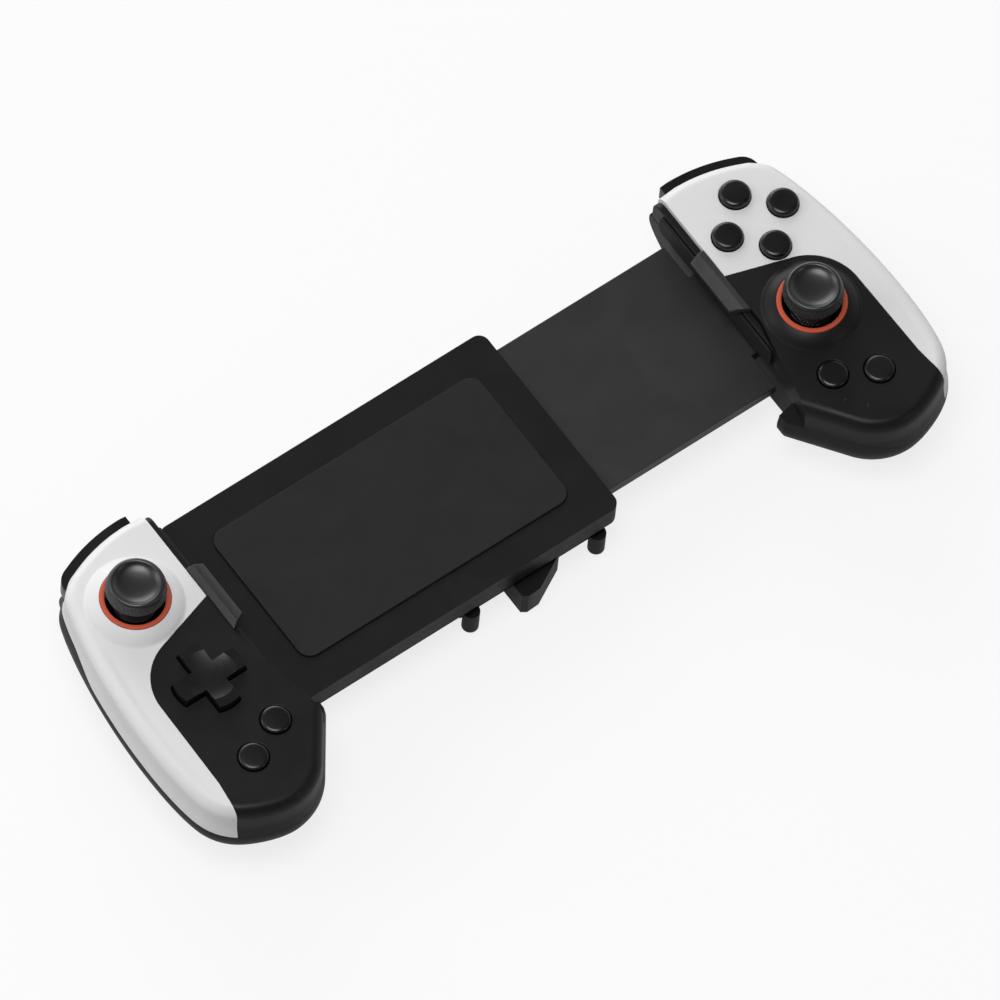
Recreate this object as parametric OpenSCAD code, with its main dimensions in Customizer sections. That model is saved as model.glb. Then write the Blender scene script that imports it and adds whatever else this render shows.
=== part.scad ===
// Telescopic mobile game controller, lying on its back with its face up.
// X runs to the right along the phone, Y towards the shoulder buttons, Z out of the face.
// Sizes are in millimetres. The origin is the middle of the footprint, on the table.

/* [Phone bay] */
// Distance between the two rubber pads that hold the ends of the phone
bay_length = 161; // [150:1:172]
// Height of the phone's seat above the table
seat_height = 20; // [19:0.25:20.75]
// Thickness of phone that fits under the clips
bay_depth = 8.6; // [7.8:0.1:9.4]
// Thickness of the rubber pad at each end of the bay
pad_thickness = 0.8; // [0.6:0.1:1.2]
// Length of each clip along the end of the phone
clip_length = 21.6; // [14:0.4:24]
// Overhang of each clip over the face of the phone
clip_reach = 2.3; // [1.5:0.1:4]

/* [Grips] */
// Reach of a grip from the end of the phone to its outer side
grip_width = 41.5; // [40.5:0.1:45]
// Top edge of a grip above the centre line of the phone
grip_top = 34; // [33:0.25:36]
// Bottom of a grip below the centre line of the phone
grip_bottom = 58.5; // [57:0.5:63]
// Height of the front face above the table
face_height = 30; // [29.5:0.25:32]
// Height of the seam between the front covers and the rear shell
seam_height = 21; // [20.25:0.25:21.25]
// Wall thickness of the moulded covers
wall = 2; // [1.7:0.05:2.2]
// Width of the rounded edge of the front face
band_width = 3.2; // [2.4:0.1:4.5]
// Distance from the end of the phone to the inner edge of the front covers
rim_offset = 2.8; // [2.4:0.1:3.4]
// Distance from the lower control to the line where white meets black
split_radius = 15.1; // [14:0.1:16]

/* [Sticks] */
// Diameter of a stick's cap
cap_diameter = 16.2; // [13:0.2:17]
// Height of a stick's cap above the front face
cap_height = 11.3; // [10.5:0.1:12.5]
// Largest tilt of a stick in degrees
stick_tilt = 16; // [10:1:17]
// Travel of a stick pressed as a button
stick_click = 0.4; // [0.2:0.05:0.5]
// Diameter of the raised collar round a stick, at the face
collar_diameter = 26; // [24:0.5:27]
// Height of the raised collar above the face
collar_height = 2.8; // [2:0.1:3.2]
// Width of the coloured ring round the stick's opening
ring_width = 1.4; // [1:0.1:1.8]

/* [Direction pad] */
// Width of the direction pad from tip to tip
cross_span = 19.7; // [17:0.1:20.5]
// Width of one arm of the direction pad
cross_arm = 6.2; // [5:0.1:7]
// Height of the direction pad above the face
cross_height = 2.4; // [1.6:0.1:3]
// Rocking angle of the direction pad in degrees
cross_tilt = 4; // [2:0.5:4]

/* [Buttons] */
// Diameter of a face button
button_diameter = 8.2; // [7:0.1:8.6]
// Distance of each face button from the middle of the four
button_circle = 9; // [8.6:0.1:9.3]
// Height of a face button above the face
button_height = 1.8; // [1.4:0.1:2.4]
// Travel of a face button
button_travel = 1.2; // [0.8:0.1:1.3]
// Diameter of a small round button
small_diameter = 8; // [6.5:0.1:8.2]
// Height of a small round button above the face
small_height = 0.9; // [0.7:0.1:1.4]
// Travel of a small round button
small_travel = 0.6; // [0.4:0.1:0.6]

/* [Shoulder keys] */
// Reach of a shoulder button beyond the top edge
shoulder_reach = 2.6; // [2:0.1:3]
// Turn of a shoulder button in degrees
shoulder_turn = 3; // [2:0.25:3]
// Length of a trigger
trigger_length = 21; // [18:0.5:21.5]
// Turn of a trigger in degrees
trigger_turn = 12; // [8:1:13]

/* [Bridge] */
// Width of the sleeve behind the phone
sleeve_width = 62; // [60:0.5:66]
// Thickness of the sleeve
sleeve_thickness = 7.4; // [7.2:0.1:8]
// Distance from the left end of the bay to the open end of the sleeve
sleeve_length = 105.5; // [100:0.5:108]
// Thickness of the sliding rail
rail_thickness = 3.8; // [3.4:0.1:4]
// Width of the sleeve beside the rail, on each side
sleeve_side = 6; // [5.5:0.25:8]
// Length of rail held in the sleeve as drawn
rail_engaged = 30; // [24:0.5:34]
// Inward travel of the right grip
slide_in = 50; // [30:1:50]
// Outward travel of the right grip
slide_out = 15; // [8:1:15]

/* [Clearances] */
// Gap round parts that move
move_gap = 0.25; // [0.2:0.05:0.35]
// Gap round parts that are fixed
fit_gap = 0.1; // [0.05:0.05:0.15]
// Gap of a pin in its bore
pin_gap = 0.06; // [0.03:0.01:0.1]

/* [Hidden] */

$fn = 48;
plan_fn = 28;
post_fn = 16;
post_turns = [11, 9, 0, 13];
column_fn = 18;
prop_fn = 14;
well_fn = 16;
well_turn = 7;
room_fn = 24;
white = [0.86, 0.86, 0.87];
black = [0.13, 0.13, 0.14];
grey = [0.24, 0.24, 0.25];
rubber = [0.18, 0.18, 0.19];
orange = [0.83, 0.33, 0.2];
green = [0.1, 0.32, 0.2];
metal = [0.72, 0.72, 0.74];

// Height of the phone's centre line in the frame of the whole controller
centre_y = (grip_bottom - grip_top - shoulder_reach) / 2;
clip_z = seat_height + bay_depth;
clip_middle = 2.8;
under_z = face_height - wall;

// Control centres in a grip's own plan: x from the end of the phone, y from the phone's centre line
upper = [0.4627 * grip_width, 13];
lower = [0.3925 * grip_width, -15.8];
inner_small = [9, -35.3];
outer_small = [20, -40.8];
light_places = [[7.5, -43], [11.5, -47.5]];

// Boards, sticks and the direction pad hang from the height of the face
pivot_z = face_height - 4.5;
stick_rise = cap_height + face_height - pivot_z;
cap_roof = 4.8;
board_top = face_height - 10.5;
board_thickness = 1.2;
board_z = board_top - board_thickness;
sheet_top = board_top + 0.8;
dome_z = face_height - 6.6;
cross_z = face_height - 4;
button_flange = 0.9;
small_flange = 0.6;
stick_hole = collar_diameter / 2 - 5;
dome_outer = stick_hole - move_gap - 0.15;
dome_inner = dome_outer - 1;

// Screws rise from the back through columns of the rear shell into posts of the front covers
screw_places = [[0.795 * grip_width, 0], [8.3, 20], [27.5, -33], [25, 8 - grip_bottom]];
screw_seat = 11;
screw_join = 16;
screw_radius = 1;
board_posts = [[29.5, 8], [30, -20], [9.5, -22]];

// Heights in each shell as [height, inset of the plan, cut from its top edge]
bulge = 1;
front_profile = [[0, 0], [0.64, 0.03], [0.82, 0.15], [0.92, 0.37], [0.98, 0.66], [1, 1]];
rear_profile = [[0, 15, 28], [0.04, 12.5, 24], [0.14, 9, 19], [0.33, 4.6, 12], [0.57, 0.3, 5],
    [0.81, -bulge, 0.5], [1, 0, 0]];
front_rise = face_height - seam_height;
front_outer = [for (p = front_profile) [seam_height + p[0] * front_rise, p[1] * band_width, 0]];
front_inner = [for (p = front_profile) [seam_height - wall + p[0] * front_rise, wall + p[1] * band_width, 0]];
rear_outer = [for (p = rear_profile) [p[0] * seam_height, p[1], p[2]]];
rear_inner = [for (p = rear_profile) [wall + p[0] * seam_height, wall + p[1], wall + p[2]]];
half_wall = wall / 2;
rear_core = [for (p = rear_profile)
    [half_wall + p[0] * (seam_height - half_wall), half_wall + p[1], half_wall + p[2]]];
front_slab = 0.26;
rear_slab = 0.26;
front_corner = -5.4;
rear_corner = -6;
flare_run = 34;
flare_step = 2;
top_arc = 46.6;
top_turns = [90, 81, 72, 62];
heel = [-5, -sleeve_width / 2 - 4.7];
heel_round = 1;
flare_rise = 7.2;
frame_low = -11.5 - (rim_offset - pad_thickness) * flare_run / flare_rise;
rib_row = [-42, -30];

// Shoulder keys follow the slanted top edge, the trigger in its own frame along it
edge_turn = 16.5;
edge_place = [19, grip_top - 3];
shoulder_pivot = [6.8, grip_top - 5.1];
shoulder_floor = seam_height + 0.3;
shoulder_roof = face_height - 3.4;
trigger_axis = [-5, face_height - 13];
trigger_barrel = 2.3;
bearing_floor = trigger_axis[1] + trigger_barrel + move_gap;
trigger_bore = 1 + pin_gap;
ear_start = trigger_length / 2 + 0.7;
ear_thickness = 1.4;

// Bridge heights and ends
sleeve_top = seat_height - 0.6;
sleeve_bottom = sleeve_top - sleeve_thickness;
sleeve_split = sleeve_top - 3.4;
rail_middle = sleeve_top - 3.4;
rail_bottom = rail_middle - rail_thickness / 2;
rail_top = rail_middle + rail_thickness / 2;
bay_left = -bay_length / 2 + pad_thickness;
bay_right = bay_length / 2 - pad_thickness;
sleeve_end = -bay_length / 2 + sleeve_length;
rail_end = sleeve_end - rail_engaged;
rail_width = sleeve_width - 2 * sleeve_side;
groove_width = rail_width + 3.6;
channel_wall = 3;
tongue_width = 28;
board_start = 7;
tongue_length = board_start - pad_thickness - 0.4;
rest_middle = sleeve_end - 26.5;
spring_wire = 0.3;
spring_reach = [bay_left + channel_wall + spring_wire, rail_end - spring_wire];
cable_turn = rail_end - 31;
cable_floor = sleeve_bottom + 1.3;
screw_row = [bay_left + 8, rest_middle - 32, sleeve_end - 2.2];
screw_side = (groove_width + sleeve_width) / 4;

module on_left() {
    translate([-bay_length / 2, centre_y, 0]) mirror([1, 0, 0]) children();
}

module on_right() {
    translate([bay_length / 2, centre_y, 0]) children();
}

module on_bridge() {
    translate([0, centre_y, 0]) children();
}

module at(place, height = 0) {
    translate([place[0], place[1], height]) children();
}

// Box from one corner to the opposite one
module block(from, to) {
    translate(from) cube(to - from);
}

// Rectangle with round corners, from one corner to the opposite one
module round_area(from, to, r) {
    translate([from[0] + r, from[1]]) square([to[0] - from[0] - 2 * r, to[1] - from[1]]);
    translate([from[0], from[1] + r]) square([to[0] - from[0], to[1] - from[1] - 2 * r]);
    for (x = [from[0] + r, to[0] - r])
        for (y = [from[1] + r, to[1] - r])
            translate([x, y]) circle(r);
}

// Plan outline of a grip before the phone's side is cut away
module grip_plan(inset = 0, top_cut = 0, corner = front_corner) {
    intersection() {
        offset(r = -inset)
            hull() {
                translate([corner, grip_top - 2.2]) circle(1, $fn = plan_fn);
                for (a = top_turns)
                    translate([7.7, grip_top - top_arc] + (top_arc - 2) * [cos(a), sin(a)])
                        circle(2, $fn = plan_fn);
                translate(heel) circle(heel_round, $fn = plan_fn);
                translate([grip_width - 14.4, grip_top - 12.5]) circle(7.7, $fn = plan_fn);
                translate([grip_width - 12.4, -22.2]) circle(12.4 - bulge, $fn = plan_fn);
                translate([grip_width - 17.5, 19.1 - grip_bottom]) circle(15.9, $fn = plan_fn);
                translate([18.3, 17.8 - grip_bottom]) circle(17.8 - bulge, $fn = plan_fn);
            }
        translate([-20, -100]) square([100, 100 + grip_top - top_cut]);
    }
}

// Solid through a list of levels, each as [height, inset, top cut]
module stack(levels, corner, slab) {
    last = len(levels) - 1;
    for (i = [0:last - 1])
        hull()
            for (k = [i, i + 1])
                translate([0, 0, levels[k][0] - slab * k / last])
                    linear_extrude(slab) grip_plan(levels[k][1], levels[k][2], corner);
}

// Plan area beyond the end of the phone, flaring in below the phone's corner
module beyond_phone(start, flare, rise, run) {
    polygon([[start, 90], [start, flare], [start - rise, flare - run],
        [start - rise, -90], [90, -90], [90, 90]]);
}

module front_area(depth = 0) {
    translate([0, 0, -10]) linear_extrude(80) beyond_phone(rim_offset + depth, -12, flare_rise, flare_run);
}

module rear_area(depth = 0) {
    flare = -sleeve_width / 2 - 1 - depth;
    translate([0, 0, -10])
        linear_extrude(80) beyond_phone(pad_thickness + depth, flare, flare_rise + 2, flare_step);
}

// Plan area of the black front cover, below the line where white meets black
module black_area(grow = 0) {
    start = 73;
    reach = 50;
    offset(delta = grow)
        polygon(concat(
            [lower + split_radius * [cos(start), sin(start)] + reach * [-sin(start), cos(start)]],
            [for (a = [start:-7.3:0]) lower + split_radius * [cos(a), sin(a)]],
            [[lower[0] + split_radius + 0.4, -42], [lower[0] + split_radius + 4, -70], [-40, -70]]));
}

// Front cover of a grip in one piece, before its controls are cut in
module front_shell() {
    difference() {
        intersection() {
            stack(front_outer, front_corner, front_slab);
            front_area();
        }
        intersection() {
            stack(front_inner, front_corner, front_slab);
            front_area(wall);
        }
        translate([0, 0, seam_height - 0.1])
            linear_extrude(shoulder_roof + 0.4 - seam_height) shoulder_room();
    }
    for (i = [0:len(screw_places) - 1])
        at(screw_places[i], screw_join)
            rotate(post_turns[i]) cylinder(h = under_z - screw_join + wall / 4, r = 2.4, $fn = post_fn);
}

module front_bores() {
    for (s = screw_places)
        at(s, screw_join - 1) cylinder(h = 10.5, r = screw_radius + 0.04, $fn = 20);
}

// Plan area of a shoulder button and the room that it moves in
module shoulder_plan() {
    difference() {
        union() {
            intersection() {
                difference() {
                    grip_plan(-shoulder_reach);
                    grip_plan(3.2);
                }
                translate([5.5, 15]) square([25.5, 30]);
            }
            translate(shoulder_pivot) circle(2.5);
            translate(shoulder_pivot - [1.2, 0]) square([3.7, 4.5]);
        }
        translate(shoulder_pivot) circle(1.1 + pin_gap);
    }
}

module shoulder_room() {
    intersection() {
        difference() {
            grip_plan(-6);
            grip_plan(5.2);
        }
        translate([4.9, 15]) square([26.8, 30]);
    }
    translate(shoulder_pivot) circle(3.2, $fn = room_fn);
}

module stick_collar(place) {
    at(place, face_height - 0.4)
        cylinder(h = collar_height + 0.4, r1 = collar_diameter / 2 + 0.3, r2 = collar_diameter / 2 - 2.4);
}

module stick_opening(place) {
    at(place, under_z - 3) cylinder(h = 12, r = stick_hole);
    at(place, face_height + collar_height - 1.2) cylinder(h = 5, r = stick_hole + ring_width + fit_gap);
}

module cross_plan(grow = 0) {
    intersection() {
        union() {
            square([cross_span + 2 * grow + 2, cross_arm + 2 * grow], center = true);
            square([cross_arm + 2 * grow, cross_span + 2 * grow + 2], center = true);
        }
        circle(cross_span / 2 + grow);
    }
}

// Hole for a round button, with room below for its flange
module button_opening(place, diameter, flange) {
    at(place, under_z - 3) {
        cylinder(h = 12, r = diameter / 2 + move_gap, $fn = plan_fn);
        cylinder(h = 3, r = diameter / 2 + flange + move_gap, $fn = plan_fn);
    }
}

module small_openings() {
    for (p = [inner_small, outer_small])
        button_opening(p, small_diameter, small_flange);
}

// Front of the left grip: stick above, direction pad below
module left_front() {
    difference() {
        union() {
            front_shell();
            stick_collar(upper);
        }
        front_bores();
        stick_opening(upper);
        at(lower, under_z - 3) linear_extrude(12) cross_plan(move_gap + 0.15);
        small_openings();
    }
}

// Front of the right grip: four face buttons above, stick below
module right_front() {
    difference() {
        union() {
            front_shell();
            stick_collar(lower);
        }
        front_bores();
        stick_opening(lower);
        for (a = [0:90:270])
            button_opening(upper + button_circle * [cos(a), sin(a)], button_diameter, button_flange);
        small_openings();
        for (p = light_places)
            at(p, under_z - 3) cylinder(h = 12, r = 0.6 + fit_gap, $fn = 16);
    }
}

module white_cut() {
    difference() {
        children();
        linear_extrude(80) black_area(0.06);
    }
}

module black_cut() {
    intersection() {
        children();
        linear_extrude(80) black_area(-0.06);
    }
}

// Frame along the slanted top edge of a grip, for the trigger
module on_edge() {
    at(edge_place) rotate([0, 0, -edge_turn]) children();
}

// Rear shell of a grip: skin, columns for the screws, posts, and the bearings of the shoulder keys
module rear_shell(tongue_low, tongue_high) {
    difference() {
        union() {
            difference() {
                intersection() {
                    stack(rear_outer, rear_corner, rear_slab);
                    rear_area();
                }
                intersection() {
                    stack(rear_inner, rear_corner, rear_slab);
                    rear_area(wall);
                }
                on_edge()
                    block([-trigger_length / 2 - 0.4, -9.5, trigger_axis[1] - 13.5],
                        [trigger_length / 2 + 0.4, 30, seam_height - 1.4]);
            }
            intersection() {
                stack(rear_core, rear_corner, rear_slab);
                rear_area(wall / 2);
                union() {
                    for (s = screw_places)
                        at(s) cylinder(h = screw_join, r = 3, $fn = column_fn);
                    for (p = board_posts)
                        at(p) rotate(well_turn) cylinder(h = board_z, r = 1.8, $fn = prop_fn);
                    block([wall, shoulder_pivot[1] - 2.9, bearing_floor],
                        [9.2, shoulder_pivot[1] + 4, seam_height - 0.1]);
                    on_edge()
                        for (u = [-ear_start - ear_thickness, ear_start])
                            block([u, -7.6, 13.5], [u + ear_thickness, 3, seam_height - 1.4]);
                    block([pad_thickness, -tongue_width / 2 - 2, tongue_low - 3],
                        [tongue_length, tongue_width / 2 + 2, tongue_low]);
                    children();
                }
            }
            at(shoulder_pivot, bearing_floor + 0.2)
                cylinder(h = shoulder_roof - bearing_floor - 0.2, r = 1.1);
        }
        for (s = screw_places) {
            at(s, -1) rotate(well_turn) cylinder(h = screw_seat + 1, r = 2.2, $fn = well_fn);
            at(s, screw_seat - 0.1) cylinder(h = 10, r = screw_radius + fit_gap, $fn = 20);
        }
        on_edge()
            translate([-trigger_length / 2 - 3, trigger_axis[0], trigger_axis[1]])
                rotate([0, 90, 0]) cylinder(h = trigger_length + 6, r = 1 + 0.02, $fn = 24);
        block([-5, -tongue_width / 2 - fit_gap, tongue_low],
            [tongue_length + 6, tongue_width / 2 + fit_gap, tongue_high + fit_gap]);
    }
}

module end_frame() {
    intersection() {
        translate([0, 0, seam_height])
            linear_extrude(clip_z - seam_height)
                polygon([[pad_thickness, grip_top - 1], [rim_offset - fit_gap, grip_top - 1],
                    [rim_offset - fit_gap, -12], [pad_thickness, frame_low]]);
        rotate([90, 0, 90])
            linear_extrude(20) round_area([-40, seam_height - 20], [grip_top - 1, clip_z], 3);
    }
}

module phone_pad() {
    rotate([90, 0, 90])
        linear_extrude(pad_thickness) round_area([frame_low + 0.6, seat_height + 0.4], [29, clip_z - 1], 2);
}

// Clip that overhangs the face of the phone, with a sloping front and slanted ends
module phone_clip() {
    back = rim_offset - fit_gap;
    low = clip_middle - clip_length / 2;
    high = clip_middle + clip_length / 2;
    intersection() {
        translate([0, high, 0])
            rotate([90, 0, 0])
                linear_extrude(clip_length)
                    polygon([[back, clip_z], [back, clip_z + 1.8], [back - 1.9, clip_z + 2.4],
                        [-0.4, clip_z + 2.1], [-clip_reach, clip_z + 1], [-clip_reach, clip_z]]);
        translate([0, 0, clip_z - 1])
            linear_extrude(6)
                polygon([[back, low], [back, high], [-clip_reach - 0.1, high - 1.1],
                    [-clip_reach - 0.1, low + 3.1]]);
    }
}

module stick_ring(place) {
    inner = stick_hole;
    outer = stick_hole + ring_width;
    low = face_height + collar_height - 1.2;
    at(place, low)
        rotate_extrude()
            polygon([[inner, 0], [outer, 0], [outer, 1.2], [outer - 0.25, 1.45], [inner + 0.3, 1.45],
                [inner, 1.1]]);
}

// Open box on the board that carries the stick's gimbal
module stick_housing(place) {
    at(place)
        difference() {
            block([-7.5, -7.5, board_top], [7.5, 7.5, pivot_z + 1.2]);
            block([-6, -6, board_top + 1], [6, 6, pivot_z + 2]);
            translate([-8, 0, pivot_z]) rotate([0, 90, 0]) cylinder(h = 16, r = 0.7 + pin_gap);
        }
}

module stick_gimbal(place) {
    at(place, pivot_z)
        difference() {
            union() {
                translate([0, 0, -1.2]) cylinder(h = 2.4, r = 5.2);
                translate([-7.3, 0, 0]) rotate([0, 90, 0]) cylinder(h = 14.6, r = 0.7);
            }
            translate([0, 0, -2]) cylinder(h = 4, r = 4);
            translate([0, 6, 0]) rotate([90, 0, 0]) cylinder(h = 12, r = 0.6 + pin_gap);
        }
}

module stick_shaft(place) {
    at(place, pivot_z) {
        translate([0, 0, -1.6]) cylinder(h = 3.2, r = 2.4);
        translate([0, 5, 0]) rotate([90, 0, 0]) cylinder(h = 10, r = 0.6);
        cylinder(h = stick_rise - cap_roof - stick_click - 0.2, r = 1.5);
        translate([0, 0, -3.2]) cylinder(h = 3, r = 1.2);
    }
}

// Cap of a stick: dished top, flared neck, and a dome that closes the opening below
module stick_cap(place) {
    top = stick_rise;
    rim = cap_diameter / 2;
    bore = 1.5 + pin_gap;
    neck = 3.7;
    skirt = 52;
    steps = 6;
    first = asin(bore / dome_inner);
    last = asin(neck / dome_outer);
    at(place, pivot_z)
        rotate_extrude()
            polygon(concat(
                [[0, top - cap_roof], [bore, top - cap_roof]],
                [for (i = [0:steps]) let (a = first + (skirt - first) * i / steps)
                    dome_inner * [sin(a), cos(a)]],
                [for (i = [0:steps]) let (a = skirt + (last - skirt) * i / steps)
                    dome_outer * [sin(a), cos(a)]],
                [[neck, top - 5.4], [0.62 * rim, top - 4.8], [0.84 * rim, top - 4.4],
                    [0.97 * rim, top - 4], [rim, top - 3.3], [0.98 * rim, top - 2.4], [0.93 * rim, top - 1],
                    [0.88 * rim, top - 0.25], [0.8 * rim, top], [0.71 * rim, top - 0.35],
                    [0.45 * rim, top - 1.1], [0, top - 1.4]]));
}

module board() {
    translate([0, 0, board_z])
        linear_extrude(board_thickness)
            difference() {
                round_area([board_start, -46], [31.5, 19], 3);
                for (s = screw_places)
                    translate(s) circle(3.4);
            }
}

// Rubber sheet on the board with one dome under each button
module small_domes() {
    for (p = [inner_small, outer_small])
        at(p) {
            translate([0, 0, board_top]) cylinder(h = 0.8, r = 4.6);
            translate([0, 0, sheet_top]) cylinder(h = dome_z - sheet_top, r1 = 3.2, r2 = 1.8);
        }
}

module cross_domes() {
    at(lower) {
        translate([0, 0, board_top]) cylinder(h = 0.8, r = 11);
        for (a = [0:90:270])
            rotate([0, 0, a])
                translate([0.41 * cross_span, 0, sheet_top])
                    cylinder(h = dome_z - sheet_top, r1 = 2.6, r2 = 1.4);
        translate([0, 0, sheet_top]) cylinder(h = cross_z - 1.4 - sheet_top, r = 1.4);
    }
}

module face_domes() {
    at(upper) {
        translate([0, 0, board_top]) cylinder(h = 0.8, r = button_circle + 1);
        for (a = [0:90:270])
            rotate([0, 0, a])
                translate([button_circle, 0, 0]) {
                    translate([0, 0, board_top]) cylinder(h = 0.8, r = 4.4);
                    translate([0, 0, sheet_top]) cylinder(h = dome_z - sheet_top, r1 = 3.4, r2 = 2);
                }
    }
}

module round_button(place, diameter, height, flange) {
    r = diameter / 2;
    top = face_height + height;
    seat = under_z - 0.05;
    at(place)
        rotate_extrude()
            polygon([[0, dome_z], [2.2, dome_z], [2.2, seat - 0.9], [r + flange, seat - 0.9],
                [r + flange, seat], [r, seat], [r, top - 0.6], [r - 0.2, top - 0.3],
                [0.6 * r, top - 0.05], [0, top]]);
}

module face_button(a) {
    round_button(upper + button_circle * [cos(a), sin(a)], button_diameter, button_height, button_flange);
}

module small_button(place) {
    round_button(place, small_diameter, small_height, small_flange);
}

// Disc under the direction pad that lets it rock both ways
module rocker_disc() {
    at(lower, cross_z) {
        translate([0, 0, -1.4]) cylinder(h = 0.8, r = 0.31 * cross_span);
        translate([0, 0, -0.6]) cylinder(h = 0.55, r1 = 1.6, r2 = 0.6);
    }
}

module cross_body() {
    dish = 22;
    top = face_height + cross_height;
    at(lower)
        difference() {
            union() {
                translate([0, 0, cross_z]) linear_extrude(top - cross_z) cross_plan();
                translate([0, 0, cross_z]) cylinder(h = 0.8, r = cross_span / 2 + 0.4);
                for (a = [0:90:270])
                    rotate([0, 0, a])
                        translate([0.41 * cross_span, 0, dome_z])
                            cylinder(h = cross_z - dome_z + 0.1, r = 1.4);
            }
            translate([0, 0, top + dish - 1.2]) sphere(dish, $fn = 96);
        }
}

module shoulder_button() {
    translate([0, 0, shoulder_floor]) linear_extrude(shoulder_roof - shoulder_floor) shoulder_plan();
}

// Side view of a trigger: barrel on the pin, web, and a curved paddle
module trigger_plan() {
    middle = [trigger_axis[0] - 1.5, trigger_axis[1] - 3.1];
    difference() {
        union() {
            translate(trigger_axis) circle(trigger_barrel);
            translate([trigger_axis[0], trigger_axis[1] - 1]) square([6.6, 2.2]);
            intersection() {
                difference() {
                    translate(middle) circle(9.5);
                    translate(middle) circle(3.2);
                }
                translate(middle)
                    polygon([[0, 0], 20 * [cos(25), sin(25)], 20 * [cos(-20), sin(-20)],
                        20 * [cos(-65), sin(-65)]]);
            }
        }
        translate(trigger_axis) circle(trigger_bore);
    }
}

module trigger() {
    on_edge()
        difference() {
            translate([-trigger_length / 2, 0, 0])
                rotate([90, 0, 90]) linear_extrude(trigger_length) trigger_plan();
            translate([trigger_length / 2 - 4, trigger_axis[0], trigger_axis[1]])
                rotate([0, 90, 0]) cylinder(h = 5, r = 3);
        }
}

module trigger_pin() {
    on_edge()
        translate([-ear_start - ear_thickness, trigger_axis[0], trigger_axis[1]])
            rotate([0, 90, 0]) cylinder(h = 2 * (ear_start + ear_thickness), r = 1);
}

// Wire wound along X from start to end, as rings of points swept along the helix
module coil(start, end, radius, wire, turns) {
    sides = 5;
    steps = 8 * turns;
    points = [for (i = [0:steps]) for (k = [0:sides - 1])
        let (a = 360 * turns * i / steps, b = 360 * k / sides, r = radius + wire * cos(b))
        [start + (end - start) * i / steps + wire * sin(b), r * cos(a), r * sin(a)]];
    skin = [for (i = [0:steps - 1]) for (k = [0:sides - 1])
        let (a = i * sides + k, b = i * sides + (k + 1) % sides)
        each [[a, b, b + sides], [a, b + sides, a + sides]]];
    first = [for (k = [sides - 1:-1:0]) k];
    final = [for (k = [0:sides - 1]) steps * sides + k];
    polyhedron(points, concat(skin, [first], [final]), convexity = 8);
}

module trigger_spring() {
    on_edge()
        translate([0, trigger_axis[0], trigger_axis[1]])
            coil(trigger_length / 2 - 3.3, trigger_length / 2 - 0.6, 1.3, 0.2, 3);
}

module grip_screws() {
    for (s = screw_places)
        at(s) {
            translate([0, 0, screw_seat - 1.5])
                difference() {
                    cylinder(h = 1.5, r = 1.9);
                    translate([-0.3, -1.2, -0.1]) cube([0.6, 2.4, 0.8]);
                    translate([-1.2, -0.3, -0.1]) cube([2.4, 0.6, 0.8]);
                }
            translate([0, 0, screw_seat - 0.1]) cylinder(h = 13.1, r = screw_radius);
        }
}

module left_white_cover() {
    color(white) on_left() white_cut() left_front();
}

module left_black_cover() {
    color(black) on_left() black_cut() left_front();
}

module left_rear_shell() {
    color(black)
        on_left()
            rear_shell(sleeve_bottom, sleeve_split)
                for (y = rib_row)
                    block([9, y, 0], [22, y + 1.5, 7]);
}

module left_end_frame() {
    color(black) on_left() end_frame();
}

module left_phone_pad() {
    color(rubber) on_left() phone_pad();
}

module left_phone_clip() {
    color(grey) on_left() phone_clip();
}

module left_stick_ring() {
    color(orange) on_left() stick_ring(upper);
}

module left_stick_housing() {
    color(metal) on_left() stick_housing(upper);
}

module left_board() {
    color(green) on_left() board();
}

module left_membrane() {
    color(rubber)
        on_left() {
            small_domes();
            cross_domes();
        }
}

module left_trigger_pin() {
    color(metal) on_left() trigger_pin();
}

module left_trigger_spring() {
    color(metal) on_left() trigger_spring();
}

module left_screws() {
    color(metal) on_left() grip_screws();
}

module battery() {
    color(grey)
        on_left()
            translate([0, 0, 7]) linear_extrude(8) round_area([10.5, -43.2], [23.5, -24], 1.5);
}

module left_stick_gimbal() {
    color(metal) on_left() stick_gimbal(upper);
}

module left_stick_shaft() {
    color(metal) on_left() stick_shaft(upper);
}

module left_stick_cap() {
    color(black) on_left() stick_cap(upper);
}

module cross_rocker() {
    color(grey) on_left() rocker_disc();
}

module cross_pad() {
    color(black) on_left() cross_body();
}

module left_button_inner() {
    color(black) on_left() small_button(inner_small);
}

module left_button_outer() {
    color(black) on_left() small_button(outer_small);
}

module left_shoulder() {
    color(black) on_left() shoulder_button();
}

module left_trigger() {
    color(black) on_left() trigger();
}

// Front half of the sleeve, with the upper half of the channel and a recess for the seat pad
module sleeve_front() {
    color(black)
        on_bridge()
            difference() {
                translate([0, 0, sleeve_split])
                    linear_extrude(sleeve_top - sleeve_split)
                        round_area([bay_left, -sleeve_width / 2], [sleeve_end, sleeve_width / 2], 3);
                sleeve_channel();
                translate([0, 0, sleeve_top - 0.4]) linear_extrude(2) seat_area(fit_gap);
                for (x = screw_row)
                    for (side = [-1, 1])
                        translate([x, side * screw_side, sleeve_split - 1])
                            cylinder(h = 3.5, r = 0.8 + 0.03);
            }
}

// Room for the rail, its stops and the springs inside the sleeve
module sleeve_channel() {
    low = rail_bottom - move_gap;
    high = rail_top + move_gap;
    wide = rail_width / 2 + move_gap;
    block([bay_left + channel_wall, -wide, low], [sleeve_end + 1, wide, high]);
    block([bay_left + channel_wall, -groove_width / 2, low],
        [rail_end + 4 + slide_out + 2, groove_width / 2, high]);
}

module seat_area(grow = 0) {
    round_area([bay_left + 10 - grow, -22 - grow], [sleeve_end - 9 + grow, 22 + grow], 4);
}

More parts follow.
